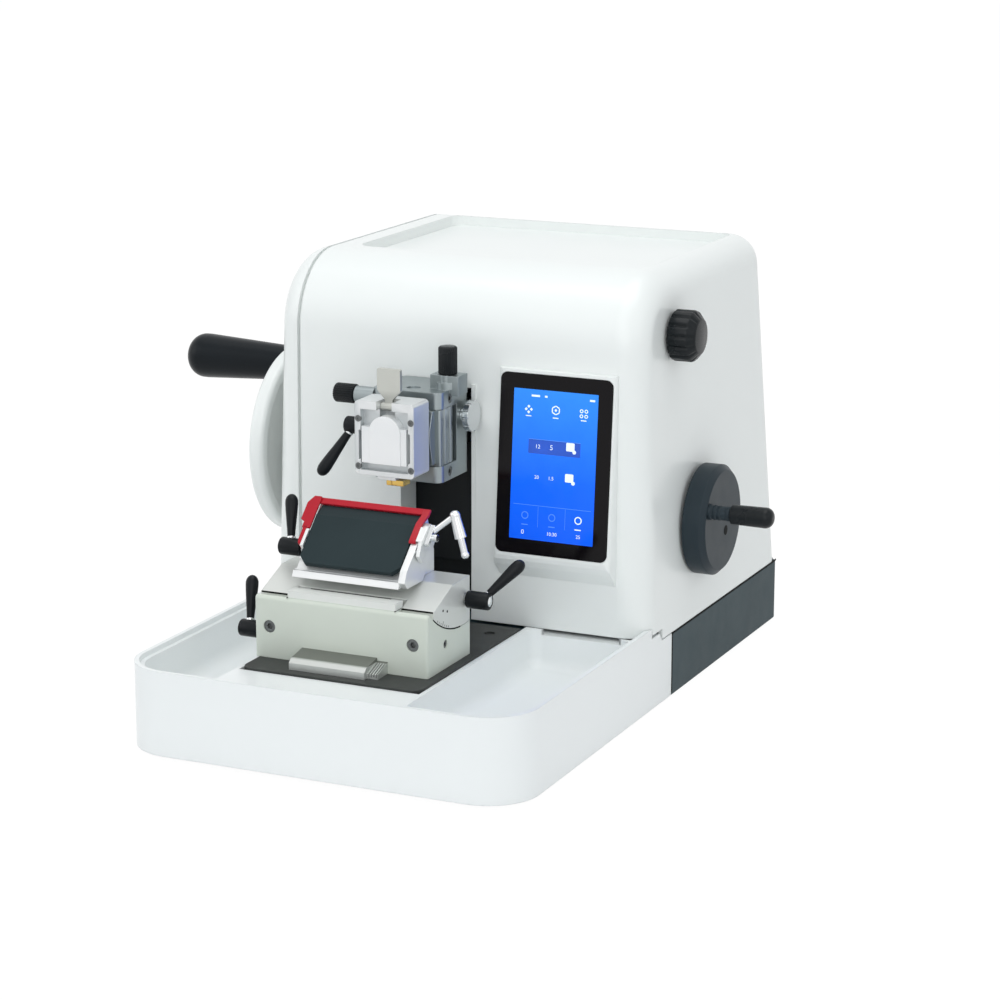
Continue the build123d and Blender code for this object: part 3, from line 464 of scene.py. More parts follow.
# black for the painted shadow in gaps and in the coarse wheel's bore, and for the printed scale
# marks and dots
SHADOW_AND_PRINT_BLACK = Finish(
    "shadow_and_print_black", (0.008, 0.009, 0.009), 0.7, specular=0.1, shade=0.2, bump=0.0,
    edge_radius=0.0,
)
FRAME_GREY = Finish("frame_grey", (0.2, 0.21, 0.22), 0.5, shade=0.15, bump=0.15)

# Moulded plastic and rubber
LEVER_BLACK = Finish(
    "lever_black", (0.006, 0.008, 0.01), 0.36, specular=0.17, shade=0.2, bump=0.08,
    bump_size=0.0006,
)
GRIP_BLACK = Finish(
    "grip_black", (0.005, 0.008, 0.011), 0.32, specular=0.16, shade=0.2, bump=0.03
)
KNOB_BLACK = Finish(
    "knob_black", (0.006, 0.009, 0.011), 0.28, specular=0.2, shade=0.2, bump=0.03
)
RUBBER = Finish("rubber", (0.02, 0.02, 0.02), 0.75, shade=0.2, bump=0.15)
BOARD_GREEN = Finish("board_green", (0.01, 0.09, 0.035), 0.4, shade=0.2, bump=0.05)

# Metal
# the metals with edge_wear_and_highlight get wear and a painted highlight on their sharp edges
HEAD_SILVER = Finish(
    "head_silver", (0.3, 0.34, 0.35), 0.34, metallic=0.85, shade=0.08, bump=0.06,
    edge_radius=0.0008, edge_wear_and_highlight=0.1,
)
CLAMP_SILVER = Finish(
    "clamp_silver", (0.58, 0.61, 0.62), 0.36, metallic=0.6, shade=0.06, bump=0.05,
    edge_radius=0.0006, edge_wear_and_highlight=0.4,
)
JAW_SILVER = Finish(
    "jaw_silver", (0.78, 0.8, 0.81), 0.36, metallic=0.35, shade=0.05, bump=0.05,
    edge_radius=0.0005, edge_wear_and_highlight=0.3,
)
CARRIER_SILVER = Finish(
    "carrier_silver", (0.72, 0.74, 0.74), 0.32, metallic=0.6, shade=0.05, bump=0.05,
    edge_radius=0.0006, edge_wear_and_highlight=0.3,
)
SEGMENT_WHITE = Finish(
    "segment_white", (0.7, 0.72, 0.69), 0.36, metallic=0.25, shade=0.04, bump=0.05,
    edge_radius=0.0008,
)
PAD_SILVER = Finish(
    "pad_silver", (0.6, 0.62, 0.6), 0.36, metallic=0.6, shade=0.12, bump=0.1,
    bump_size=0.0006, edge_radius=0.0006, grain=Grain.BRUSHED_X,
    cap_colour=(0.2, 0.21, 0.19), cap_height=0.0702,
)
BRUSHED_STEEL = Finish(
    "brushed_steel", (0.45, 0.46, 0.47), 0.28, metallic=1.0, shade=0.1, bump=0.08,
    bump_size=0.0004, grain=Grain.BRUSHED_X,
)
UPRIGHT_STEEL = Finish(
    "upright_steel", (0.42, 0.43, 0.44), 0.3, metallic=1.0, shade=0.1, bump=0.08,
    bump_size=0.0004, grain=Grain.BRUSHED_Z,
)
PADDLE_STEEL = Finish(
    "paddle_steel", (0.42, 0.43, 0.4), 0.38, metallic=0.85, shade=0.08, bump=0.08,
    bump_size=0.0004, edge_radius=0.0004, edge_wear_and_highlight=0.3, grain=Grain.BRUSHED_Z,
)
SOCKET_STEEL = Finish(
    "socket_steel", (0.16, 0.17, 0.17), 0.35, metallic=0.8, shade=0.15, bump=0.05
)
BLADE_STEEL = Finish(
    "blade_steel", (0.65, 0.66, 0.68), 0.16, metallic=1.0, shade=0.05, grain=Grain.BRUSHED_X
)
CHROME = Finish("chrome", (0.72, 0.74, 0.75), 0.14, metallic=1.0, shade=0.03, bump=0.01)
BRASS = Finish("brass", (0.72, 0.49, 0.14), 0.25, metallic=1.0, shade=0.12, bump=0.04)

# Screen
GLASS_BLACK = Finish(
    "glass_black", (0.004, 0.003, 0.004), 0.12, specular=0.16, shade=0.1, bump=0.0,
    edge_radius=0.0006, roughness_spread=0.01,
)
UI_WHITE = Finish(
    "ui_white", (0.8, 0.9, 1.0), 0.4, specular=0.1, shade=0.02, bump=0.0,
    edge_radius=0.0, emission=0.35,
)
UI_PALE = Finish(
    "ui_pale", (0.09, 0.29, 0.9), 0.4, specular=0.1, shade=0.05, bump=0.0,
    edge_radius=0.0, emission=0.3,
)
UI_ROW = Finish(
    "ui_row", (0.008, 0.075, 0.5), 0.2, shade=0.2, patch_size=0.02, bump=0.0,
    edge_radius=0.0, emission=0.5,
)

FINISH_OF_NODE: dict[str, Finish] = {
    node: finish
    for finish, nodes in (
        (WHITE_ENAMEL, "housing_shell left_side_cover handwheel hub_cap"),
        (TRAY_WHITE, "waste_tray"),
        (BASE_SLATE, "base_casting"),
        (PLATE_BLACK, "slot_apron slot_cover"),
        (HOLDER_PLATE_GREY, "holder_plate"),
        (WHEEL_SLATE, "coarse_wheel"),
        (HOLDER_CREAM, "holder_base"),
        (PRESS_SLATE, "pressure_plate"),
        (GUARD_RED, "finger_guard"),
        (FRAME_GREY, "frame_column"),
        (LEVER_BLACK, "power_inlet display_panel feed_motor"),
        (LEVER_BLACK, "head_clamp_lever base_lock_lever segment_lever blade_lever"),
        (GRIP_BLACK, "rocker_switch handwheel_grip"),
        (KNOB_BLACK, "tilt_knob pan_knob coarse_grip balance_knob"),
        (RUBBER, "rubber_feet"),
        (BOARD_GREEN, "control_board"),
        (HEAD_SILVER, "head_carrier pan_block"),
        (CLAMP_SILVER, "clamp_body"),
        (JAW_SILVER, "clamp_jaw"),
        (CARRIER_SILVER, "blade_holder"),
        (SEGMENT_WHITE, "tilt_segment"),
        (PAD_SILVER, "base_clamp_pad"),
        (BRUSHED_STEEL, "rear_panel cover_screws power_supply shaft_bearings main_shaft"),
        (BRUSHED_STEEL, "crank_disc crank_roller grip_spindle yoke_plate"),
        (BRUSHED_STEEL, "feed_screw feed_slide coarse_shaft"),
        (UPRIGHT_STEEL, "guide_rails carriage"),
        (PADDLE_STEEL, "paddle_lever"),
        (SOCKET_STEEL, "head_screws clamp_screws holder_screws"),
        (BLADE_STEEL, "blade"),
        (CHROME, "lock_dial guard_lever"),
        (BRASS, "shaft_bushes brass_stop"),
        (GLASS_BLACK, "screen_glass"),
    )
    for node in nodes.split()
}


@dataclass
class Piece:
    """A mesh piece in the making, kept in the frame."""

    name: str
    body: str
    finish: Finish
    slot_name: str
    mesh: bmesh.types.BMesh = field(default_factory=bmesh.new)

    def skin(self, loops: Sequence[Sequence[Point]]) -> None:
        """Close a solid around loops of points, with a flat face at each end.

        Args:
            loops: Points in metres, as many in each loop.
        """
        rings = [[self.mesh.verts.new(point) for point in loop] for loop in loops]
        for low, high in zip(rings, rings[1:]):
            for k in range(len(low)):
                n = (k + 1) % len(low)
                self.mesh.faces.new((low[k], low[n], high[n], high[k]))
        self.mesh.faces.new(list(reversed(rings[0])))
        self.mesh.faces.new(rings[-1])

    def loft(
        self, origin: Point, axis: Point, rings: Sequence[tuple[float, Sequence[float]]]
    ) -> None:
        """Join rings whose radius changes around the axis.

        Args:
            origin: Start of the axis in millimetres.
            axis: Direction of the axis.
            rings: (distance along the axis, radii around it) pairs in millimetres.
        """
        along = Vector(axis).normalized()
        side = along.orthogonal().normalized()
        other = along.cross(side)
        base = Vector(at(*origin))
        loops = []
        for distance, radii in rings:
            turns = [2 * math.pi * k / len(radii) for k in range(len(radii))]
            spokes = [side * math.cos(turn) + other * math.sin(turn) for turn in turns]
            loops.append(
                [base + (along * distance + s * r) * MM for s, r in zip(spokes, radii)]
            )
        self.skin(loops)

    def lathe(self, profile: Outline, origin: Point, axis: Point, steps: int) -> None:
        """Turn a profile of (distance, radius) pairs in millimetres around an axis."""
        self.loft(origin, axis, [(along, [radius] * steps) for along, radius in profile])

    def knurl(
        self, profile: Outline, origin: Point, axis: Point, ribs: int, depth: float
    ) -> None:
        """Turn a profile around an axis and cut its barrel into ribs.

        Args:
            profile: (distance along the axis, radius) pairs in millimetres.
            origin: Start of the axis in millimetres.
            axis: Direction of the axis.
            ribs: Number of ribs.
            depth: Depth of the grooves between them in millimetres.
        """
        barrel = profile[1][1]
        rings = []
        for along, radius in profile:
            cut = depth if radius > KNURLED_FROM * barrel else 0.0
            rib = [radius if k < RIB_STEPS // 2 else radius - cut for k in range(RIB_STEPS)]
            rings.append((along, rib * ribs))
        self.loft(origin, axis, rings)

    def slab(self, place: Matrix, corners: Outline, thick: float) -> None:
        """Extrude a flat outline.

        Args:
            place: Location of the outline's plane.
            corners: Outline in millimetres, counter-clockwise.
            thick: Height above the plane in millimetres.
        """
        self.skin([[place @ Vector(mm(x, y, z)) for x, y in corners] for z in (0, thick)])

    def hull(self, points: Sequence[Point]) -> None:
        """Add the convex solid around points given from the body's centre plane.

        Args:
            points: Corners in millimetres.
        """
        corners = [self.mesh.verts.new(at(*point)) for point in points]
        made = bmesh.ops.convex_hull(self.mesh, input=corners)
        spare = [v for v in made["geom_interior"] if isinstance(v, bmesh.types.BMVert)]
        bmesh.ops.delete(self.mesh, geom=spare, context="VERTS")

    def strip(self, low: Point, high: Point) -> None:
        """Add a thin strip between two opposite corners, in millimetres."""
        across, back, up = zip(low, high)
        self.hull([(x, y, z) for x in across for y in back for z in up])

    def build(self, smooth: bool = True, bevel: float = 0.0) -> bpy.types.Object:
        """Turn the mesh into an object that rides on its body.

        Args:
            smooth: Shade smooth, apart from sharp edges.
            bevel: Width of a modelled bevel in millimetres.

        Returns:
            The finished object.
        """
        bmesh.ops.remove_doubles(self.mesh, verts=self.mesh.verts, dist=WELD)
        bmesh.ops.recalc_face_normals(self.mesh, faces=self.mesh.faces)
        data = bpy.data.meshes.new(self.name)
        self.mesh.to_mesh(data)
        self.mesh.free()
        made = placed(self.name, data)
        data.materials.append(self.finish.material())
        if bevel > 0:
            modifier = made.modifiers.new("soft_edge", "BEVEL")
            modifier.width = bevel * MM
            modifier.segments = 2
            modifier.limit_method = "ANGLE"
        if smooth:
            for polygon in data.polygons:
                polygon.use_smooth = True
            data.set_sharp_from_angle(angle=math.radians(SHARP_DEGREES))
        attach(made, self.body)
        log.info("piece %s rides on %s", self.name, self.body)
        return made


def rounded(width: float, height: float, radius: float, steps: int) -> Outline:
    """Outline of a rounded rectangle about its centre.

    Args:
        width: Width in millimetres.
        height: Height in millimetres.
        radius: Corner radius in millimetres.
        steps: Steps in each corner.

    Returns:
        Points counter-clockwise.
    """
    points = []
    for cx, cy, start in ((1, 1, 0), (-1, 1, 90), (-1, -1, 180), (1, -1, 270)):
        for k in range(steps + 1):
            angle = math.radians(start + 90 * k / steps)
            x = cx * (width / 2 - radius) + radius * math.cos(angle)
            y = cy * (height / 2 - radius) + radius * math.sin(angle)
            points.append((x, y))
    return points


def circle(radius: float, steps: int) -> Outline:
    """Points of a circle about its centre, counter-clockwise.

    Args:
        radius: Radius in millimetres.
        steps: Number of points.

    Returns:
        The points.
    """
    angles = [2 * math.pi * k / steps for k in range(steps)]
    return [(radius * math.cos(angle), radius * math.sin(angle)) for angle in angles]


@dataclass
class Screen:
    """The touch screen: a lit picture with plain shapes and numbers on the black glass."""

    centre: Point = (83.5, -41.0, 181.75)
    rise: float = 11.0  # how far the top of the glass lies behind its foot
    height: float = 129.5
    picture: tuple[float, float] = (64.8, 108.0)
    proud: float = 0.26  # face of the picture, out of the centre's plane
    depth: float = 0.05  # thickness of the picture
    ink: float = 0.03  # thickness of a sign
    columns: Point = (-20.6, 0.3, 21.8)
    sign_y: float = 39.6
    label_y: float = 34.9
    tap_ys: tuple[float, float] = (15.2, -7.0)
    foot_y: float = -36.6
    foot_label_y: float = -43.3
    foot_right: float = 20.6
    header: Outline = ((-15.5, 6.5), (-7.5, 2.0), (28.0, 4.0))  # (x, width)
    values: Sequence[tuple[str, float, float, float]] = (  # (word, x, y, size)
        ("5", -2.0, 13.4, 5.0),
        ("12", -12.6, 13.4, 4.0),
        ("20", -12.6, -8.6, 3.6),
        ("1.5", -1.6, -8.6, 3.6),
        ("0", -22.0, -48.9, 4.6),
        ("10:30", 0.6, -48.6, 3.6),
        ("25", 21.0, -48.4, 3.6),
    )
    value_out: float = 0.34
    value_half_depth: float = 0.02
    blues: Sequence[tuple[float, Colour]] = (  # from the foot to the top
        (0.0, (0.004, 0.085, 0.72)),
        (0.45, (0.006, 0.115, 0.84)),
        (1.0, (0.028, 0.22, 0.78)),
    )
    cloud_size: float = 1 / 90  # metres
    cloud_share: float = 0.12
    glow: float = 0.5
    roughness: float = 0.15
    specular: float = 0.16

    def place(self, x: float = 0.0, y: float = 0.0, out: float = 0.0) -> Matrix:
        """Location on the glass, X to the right, Y up the glass, Z outwards.

        Args:
            x: Millimetres to the right of the centre.
            y: Millimetres up from the centre.
            out: Millimetres out of the centre's plane.

        Returns:
            The matrix in metres.
        """
        lean = math.atan(self.rise / self.height)
        turn = Matrix.Rotation(math.radians(90) - lean, 4, "X")
        centre = Matrix.Translation(Vector(at(*self.centre)))
        return centre @ turn @ Matrix.Translation(Vector(mm(x, y, out)))

    def picture_material(self) -> bpy.types.Material:
        """Blue picture, paler at the top and deeper at the foot.

        Returns:
            The material.
        """
        made, tree, shader = blank_material("screen_picture")
        low = self.centre[2] - self.height / 2
        up = map_range(tree, object_height(tree), mm(low, low + self.height))
        clouds = noise(tree, object_place(tree), self.cloud_size, RELIEF_DETAIL)
        level = math_node(tree, "MULTIPLY_ADD", clouds, self.cloud_share, up)
        blue = colour_ramp(tree, level, self.blues)
        tree.links.new(blue, shader.inputs["Base Color"])
        tree.links.new(blue, shader.inputs["Emission Color"])
        shader.inputs["Emission Strength"].default_value = self.glow
        shader.inputs["Roughness"].default_value = self.roughness
        shader.inputs["Specular IOR Level"].default_value = self.specular
        return made

    def build(self) -> None:
        """Lay the picture and its signs on the glass."""
        sheet = Piece("screen_picture", "base", UI_PALE, "display_panel")
        back = self.place(out=self.proud - self.depth)
        sheet.slab(back, rounded(*self.picture, 0.4, 2), self.depth)
        made = sheet.build(smooth=False)
        made.data.materials.clear()
        made.data.materials.append(self.picture_material())
        self._bars()
        self._signs()
        self._faint_signs()
        self._numbers()

    def _draw(
        self, piece: Piece, shape: Outline, x: float, y: float, layer: int = 1, turn: float = 0.0
    ) -> None:
        """Draw one flat shape on the picture.

        Args:
            piece: The piece to draw into.
            shape: Outline about its own centre in millimetres.
            x: Centre to the right in millimetres.
            y: Centre up in millimetres.
            layer: Layers of ink under it.
            turn: Turn of the shape in degrees.
        """
        spot = self.place(x, y, self.proud + layer * self.ink)
        piece.slab(spot @ Matrix.Rotation(math.radians(turn), 4, "Z"), shape, self.ink)

    def _ring(
        self, piece: Piece, x: float, y: float, radius: float, width: float, steps: int
    ) -> None:
        """Draw a ring of short bars.

        Args:
            piece: The piece to draw into.
            x: Centre to the right in millimetres.
            y: Centre up in millimetres.
            radius: Middle radius in millimetres.
            width: Line width in millimetres.
            steps: Number of bars.
        """
        length = 2 * radius * math.sin(math.pi / steps) + width * 0.3
        bar = rounded(width, length, width * 0.2, 1)
        for k in range(steps):
            turn = Matrix.Rotation(2 * math.pi * k / steps, 4, "Z")
            spot = self.place(x, y, self.proud + self.ink) @ turn
            piece.slab(spot @ Matrix.Translation(Vector(mm(radius, 0, 0))), bar, self.ink)

    def _bars(self) -> None:
        """The selected row, and the dividers of the foot row."""
        row = Piece("screen_row", "base", UI_ROW, "display_panel")
        self._draw(row, rounded(40, 10.6, 0.6, 3), 0.2, 13.6, layer=0)
        row.build(smooth=False)
        lines = Piece("screen_lines", "base", UI_PALE, "display_panel")
        self._draw(lines, rounded(60, 0.35, 0.1, 1), 0, -29, layer=0)
        for x in (-10.5, 10.5):
            self._draw(lines, rounded(0.25, 15, 0.1, 1), x, -37, layer=0)
        self._draw(lines, rounded(40, 0.4, 0.1, 1), 0.2, 18.6)
        lines.build(smooth=False)

    def _signs(self) -> None:
        """Plain shapes in place of the real pictograms."""
        signs = Piece("screen_signs", "base", UI_WHITE, "display_panel")
        left, middle, right = self.columns
        for dx, dy in ((0, 2), (2, 0), (0, -2), (-2, 0)):
            square = rounded(1.7, 1.7, 0.3, 2)
            self._draw(signs, square, left + dx, self.sign_y + dy, turn=45)
        self._ring(signs, middle, self.sign_y + 0.8, 2.7, 0.8, 6)
        self._draw(signs, circle(0.9, 12), middle, self.sign_y + 0.8)
        for dx, dy in ((-1.8, 1.8), (1.8, 1.8), (-1.8, -1.8), (1.8, -1.8)):
            self._ring(signs, right + dx, self.sign_y + 0.2 + dy, 1.05, 0.6, 10)
        for y in self.tap_ys:
            self._draw(signs, rounded(6.4, 6.0, 0.8, 3), 12.5, y)
            self._draw(signs, circle(1.4, 12), 15.6, y - 3.4)
        for x in self.columns:
            self._draw(signs, rounded(4.4, 0.7, 0.2, 1), x, self.label_y)
        self._ring(signs, self.foot_right, self.foot_y, 2.4, 0.8, 16)
        self._draw(signs, rounded(5, 0.8, 0.2, 1), self.foot_right, self.foot_label_y)
        for x, width in self.header:
            self._draw(signs, rounded(width, 1.4, 0.3, 2), x, 49.5)
        signs.build(smooth=False)

    def _faint_signs(self) -> None:
        """The two signs of the foot row that aren't selected."""
        faint = Piece("screen_faint_signs", "base", UI_PALE, "display_panel")
        for x in self.columns[:2]:
            self._ring(faint, x, self.foot_y, 2.4, 0.7, 16)
            self._draw(faint, rounded(5, 0.7, 0.2, 1), x, self.foot_label_y)
        faint.build(smooth=False)

    def _numbers(self) -> None:
        """Plain values on the picture."""
        for k, (word, x, y, size) in enumerate(self.values):
            name = f"screen_value_{k}"
            data = bpy.data.curves.new(name, "FONT")
            data.body = word
            data.size = size * MM
            data.align_x = "CENTER"
            data.align_y = "CENTER"
            data.extrude = self.value_half_depth * MM
            data.resolution_u = 3
            data.materials.append(UI_WHITE.material())
            made = placed(name, data)
            made.matrix_world = self.place(x, y, self.value_out)
            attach(made, "base")
            log.info("piece %s rides on %s", name, "base")


@dataclass
class Lever:
    """One clamping lever: black hub and club-shaped arm with a silver cap, ring and shaft."""

    name: str
    body: str
    hub: tuple[float, float]  # left and right end
    pivot: tuple[float, float]  # Y and Z of the hub's axis
    root: float  # X at which the arm leaves the hub
    arm: Point  # direction of the arm
    length: float
    shaft: tuple[float, float] | None = None
    hub_radius: float = 6.15

    def _axial(self, x: float) -> Point:
        """A point on the hub's axis, in millimetres."""
        return (x, *self.pivot)

    def build(self) -> None:
        """Make the lever in place of its CAD node, and its silver trim."""
        wide = self.hub[1] - self.hub[0]
        r = self.hub_radius
        n = self.length
        lever = Piece(f"{self.name}_club", self.body, LEVER_BLACK, self.name)
        hub = (
            (0.0, r - 1.1), (0.5, r - 0.3), (1.2, r),
            (wide - 1.2, r), (wide - 0.5, r - 0.3), (wide, r - 1.1),
        )
        lever.lathe(hub, self._axial(self.hub[0]), (1, 0, 0), 40)
        club = (
            (0.0, 2.7), (7.0, 2.7), (12.0, 3.05), (0.5 * n, 3.7), (0.68 * n, 4.3),
            (0.8 * n, 4.6), (0.87 * n, 4.55), (n - 3.0, 3.9), (n - 1.6, 2.9),
            (n - 0.7, 1.6), (n - 0.45, 0.7),
        )
        lever.lathe(club, self._axial(self.root), self.arm, 32)
        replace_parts(lever.build(), self.name)
        self._cap()
        self._ring()
        if self.shaft is not None:
            self._shaft(*self.shaft)

    def _cap(self) -> None:
        """Silver cap on the free end of the hub."""
        left, right = self.hub
        free_left = self.root - left < right - self.root
        outward = -1 if free_left else 1
        tip = left if free_left else right
        cap = Piece(f"{self.name}_cap", self.body, CHROME, "guard_lever")
        profile = ((-0.6, 3.4), (0.35, 3.6), (0.8, 2.8), (1.0, 1.2))
        cap.lathe(profile, self._axial(tip - 0.4 * outward), (outward, 0, 0), 32)
        cap.build()

    def _ring(self) -> None:
        """Silver ring at the root of the arm."""
        ring = Piece(f"{self.name}_ring", self.body, CHROME, "guard_lever")
        profile = ((5.4, 2.5), (5.6, 3.15), (6.9, 3.15), (7.1, 2.5))
        ring.lathe(profile, self._axial(self.root), self.arm, 32)
        ring.build()

    def _shaft(self, start: float, stop: float) -> None:
        """Turned shaft between the lever and what it clamps.

        Args:
            start: Left end in millimetres.
            stop: Right end in millimetres.
        """
        n = stop - start
        shaft = Piece(f"{self.name}_shaft", self.body, BRUSHED_STEEL, "guard_lever")
        turned = (
            (0, 3.5), (0.5, 4.0), (n * 0.45, 4.0), (n * 0.5, 3.5),
            (n * 0.6, 3.5), (n * 0.65, 3.95), (n, 3.95),
        )
        shaft.lathe(turned, self._axial(start), (1, 0, 0), 32)
        shaft.build()


@dataclass
class KnurledKnob:
    """A knurled adjusting knob that stands in for its plain CAD cylinder."""

    node: str
    body: str
    start: Point
    axis: Point
    length: float
    radius: float
    shank: float
    shank_radius: float = 2.45
    shank_overlap: float = 0.5
    ribs: int = 26
    groove: float = 0.45

    def build(self) -> None:
        """Make the ribbed barrel with broken edges and its shank."""
        knob = Piece(f"{self.node}_barrel", self.body, KNOB_BLACK, self.node)
        r = self.radius
        n = self.length
        profile = ((0, r - 1.0), (0.6, r), (n - 1.6, r), (n - 0.8, r - 0.5), (n - 0.2, r - 1.4))
        knob.knurl(profile, self.start, self.axis, self.ribs, self.groove)
        back = tuple(-c for c in self.axis)
        shank = ((-self.shank_overlap, self.shank_radius), (self.shank, self.shank_radius))
        knob.lathe(shank, self.start, back, 24)
        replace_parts(knob.build(), self.node)


@dataclass
class FlutedKnob:
    """The round knob on the roof, with wide shallow flutes and a broad front chamfer."""

    node: str = "balance_knob"
    body: str = "balance"
    centre: Point = (147.3, 28.5, 270.0)
    length: float = 20.2
    radius: float = 18.5
    flutes: int = 14
    flute_steps: int = 12
    flute_power: float = 1.5  # above 1 the lands are wider than the flutes

    def _radii(self, outer: float, depth: float) -> list[float]:
        """Radii around one ring.

        Args:
            outer: Outer radius of the ring in millimetres.
            depth: Depth of its flutes in millimetres.

        Returns:
            The radii of all flutes in turn.
        """
        turns = [2 * math.pi * k / self.flute_steps for k in range(self.flute_steps)]
        waves = [max(0.0, math.cos(turn)) ** self.flute_power for turn in turns]
        return [outer - depth * wave for wave in waves] * self.flutes

    def build(self) -> None:
        """Make the knob inside the box of its CAD node."""
        knob = Piece("balance_knob_fluted", self.body, KNOB_BLACK, self.node)
        r = self.radius
        n = self.length
        profile = (  # (distance from the roof, outer radius, depth of the flutes)
            (0.0, r - 1.2, 0.7),
            (0.9, r - 0.25, 1.2),
            (1.6, r, 1.4),
            (n - 6.2, r, 1.4),
            (n - 4.6, r - 0.7, 1.1),
            (n - 1.0, r - 5.0, 0.25),
            (n - 0.35, r - 5.7, 0.0),
            (n - 0.05, r - 6.8, 0.0),
        )
        rings = [(along, self._radii(outer, depth)) for along, outer, depth in profile]
        knob.loft(self.centre, (1, 0, 0), rings)
        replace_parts(knob.build(), self.node)


@dataclass
class SlopeFrame:
    """Points on the blade slope: X to the right, down the slope and out of it."""

    edge: Point = (0.0, -133.0, 162.0)
    down: Point = (0.0, -0.7266, -0.6873)
    out: Point = (0.0, -0.6871, 0.7266)

    def place(self, x: float, down: float, out: float) -> Point:
        """Place in metres of a point on the slope.

        Args:
            x: Millimetres to the right of the centre plane.
            down: Millimetres down the slope from the cutting edge.
            out: Millimetres out of the slope.

        Returns:
            The point in the frame.
        """
        axes = zip(self.edge, self.down, self.out)
        _, y, z = (e + down * d + out * o for e, d, o in axes)
        return at(x, y, z)

    def sheet(self, piece: Piece, outline: Outline, low: float, high: float) -> None:
        """Add a flat sheet that lies on the slope.

        Args:
            piece: The piece to draw into.
            outline: (x, down) corners in millimetres.
            low: Underside above the slope.
            high: Upper side above the slope.
        """
        piece.skin([[self.place(x, down, out) for x, down in outline] for out in (low, high)])

    def strip(self, piece: Piece, side: Outline, span: tuple[float, float]) -> None:
        """Add a strip whose side outline runs down and out of the slope.

        Args:
            piece: The piece to draw into.
            side: (down, out) corners in millimetres.
            span: Left and right side.
        """
        piece.skin([[self.place(x, down, out) for down, out in side] for x in span])


@dataclass
class FingerGuard:
    """Red guard bar over the blade with its two legs, and the silver bracket of its handle."""

    slope: SlopeFrame = field(default_factory=SlopeFrame)
    bar: Outline = ((-55.0, -2.9), (26.65, -2.9), (26.65, 1.75), (-58.0, 1.75))
    bar_depth: tuple[float, float] = (1.0, 3.0)
    wing: Outline = (
        (-58.0, -2.9), (-52.4, -2.9), (-52.4, 23.5), (-58.6, 23.5), (-58.6, 18.6),
        (-61.7, 17), (-61.7, 3),
    )
    wing_depth: tuple[float, float] = (2.9, 4.45)
    tail: Outline = (
        (22.0, 3.0), (22.0, 4.45), (33.5, 4.45), (36.0, 3.2), (36.0, -4.0), (28.0, -4.0),
        (28.0, 3.0),
    )
    tail_span: tuple[float, float] = (-57.6, -54.5)
    leg: Outline = (
        (-2.9, 1.0), (-2.9, 3.0), (1.0, 3.0), (11.6, 7.0), (26.6, 7.5), (27.7, 6.6),
        (27.7, 5.95), (12.0, 5.5), (1.75, 1.0),
    )
    leg_span: tuple[float, float] = (26.6, 31.6)
    flange: Outline = ((14.0, 6.1), (14.0, 7.0), (26.0, 7.3), (26.0, 6.3))
    flange_span: tuple[float, float] = (31.3, 36.4)
    wall: Outline = (
        (9.0, 1.5), (9.0, 4.0), (13.0, 6.9), (27.0, 7.0), (36.0, 3.5), (36.0, -4.0),
        (28.0, -4.0), (26.0, 1.5),
    )
    wall_span: tuple[float, float] = (33.8, 36.5)
    pivot: tuple[float, float] = (-158.0, 142.0)  # Y and Z of the pins
    pins: tuple[float, float] = (-54.6, 28.7)  # left end of each pin
    pin_lengths: tuple[float, float] = (2.3, 5.3)

    def _pin(self, piece: Piece, start: float, length: float) -> None:
        """Add one pivot pin with broken edges.

        Args:
            piece: The piece to draw into.
            start: Left end in millimetres.
            length: Length in millimetres.
        """
        profile = ((0, 1.3), (0.1, 1.5), (length - 0.1, 1.5), (length, 1.3))
        piece.lathe(profile, (start, *self.pivot), (1, 0, 0), 20)

    def build(self) -> None:
        """Make the red guard in place of its CAD node, and the bracket."""
        red = Piece("finger_guard_red", "guard", GUARD_RED, "finger_guard")
        self.slope.sheet(red, self.bar, *self.bar_depth)
        self.slope.sheet(red, self.wing, *self.wing_depth)
        self.slope.strip(red, self.tail, self.tail_span)
        self.slope.strip(red, self.leg, self.leg_span)
        self._pin(red, self.pins[0], self.pin_lengths[0])
        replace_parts(red.build(bevel=0.25), "finger_guard")
        bracket = Piece("finger_guard_bracket", "guard", CARRIER_SILVER, "finger_guard")
        self.slope.strip(bracket, self.flange, self.flange_span)
        self.slope.strip(bracket, self.wall, self.wall_span)
        self._pin(bracket, self.pins[1], self.pin_lengths[1])
        bracket.build(bevel=0.2)


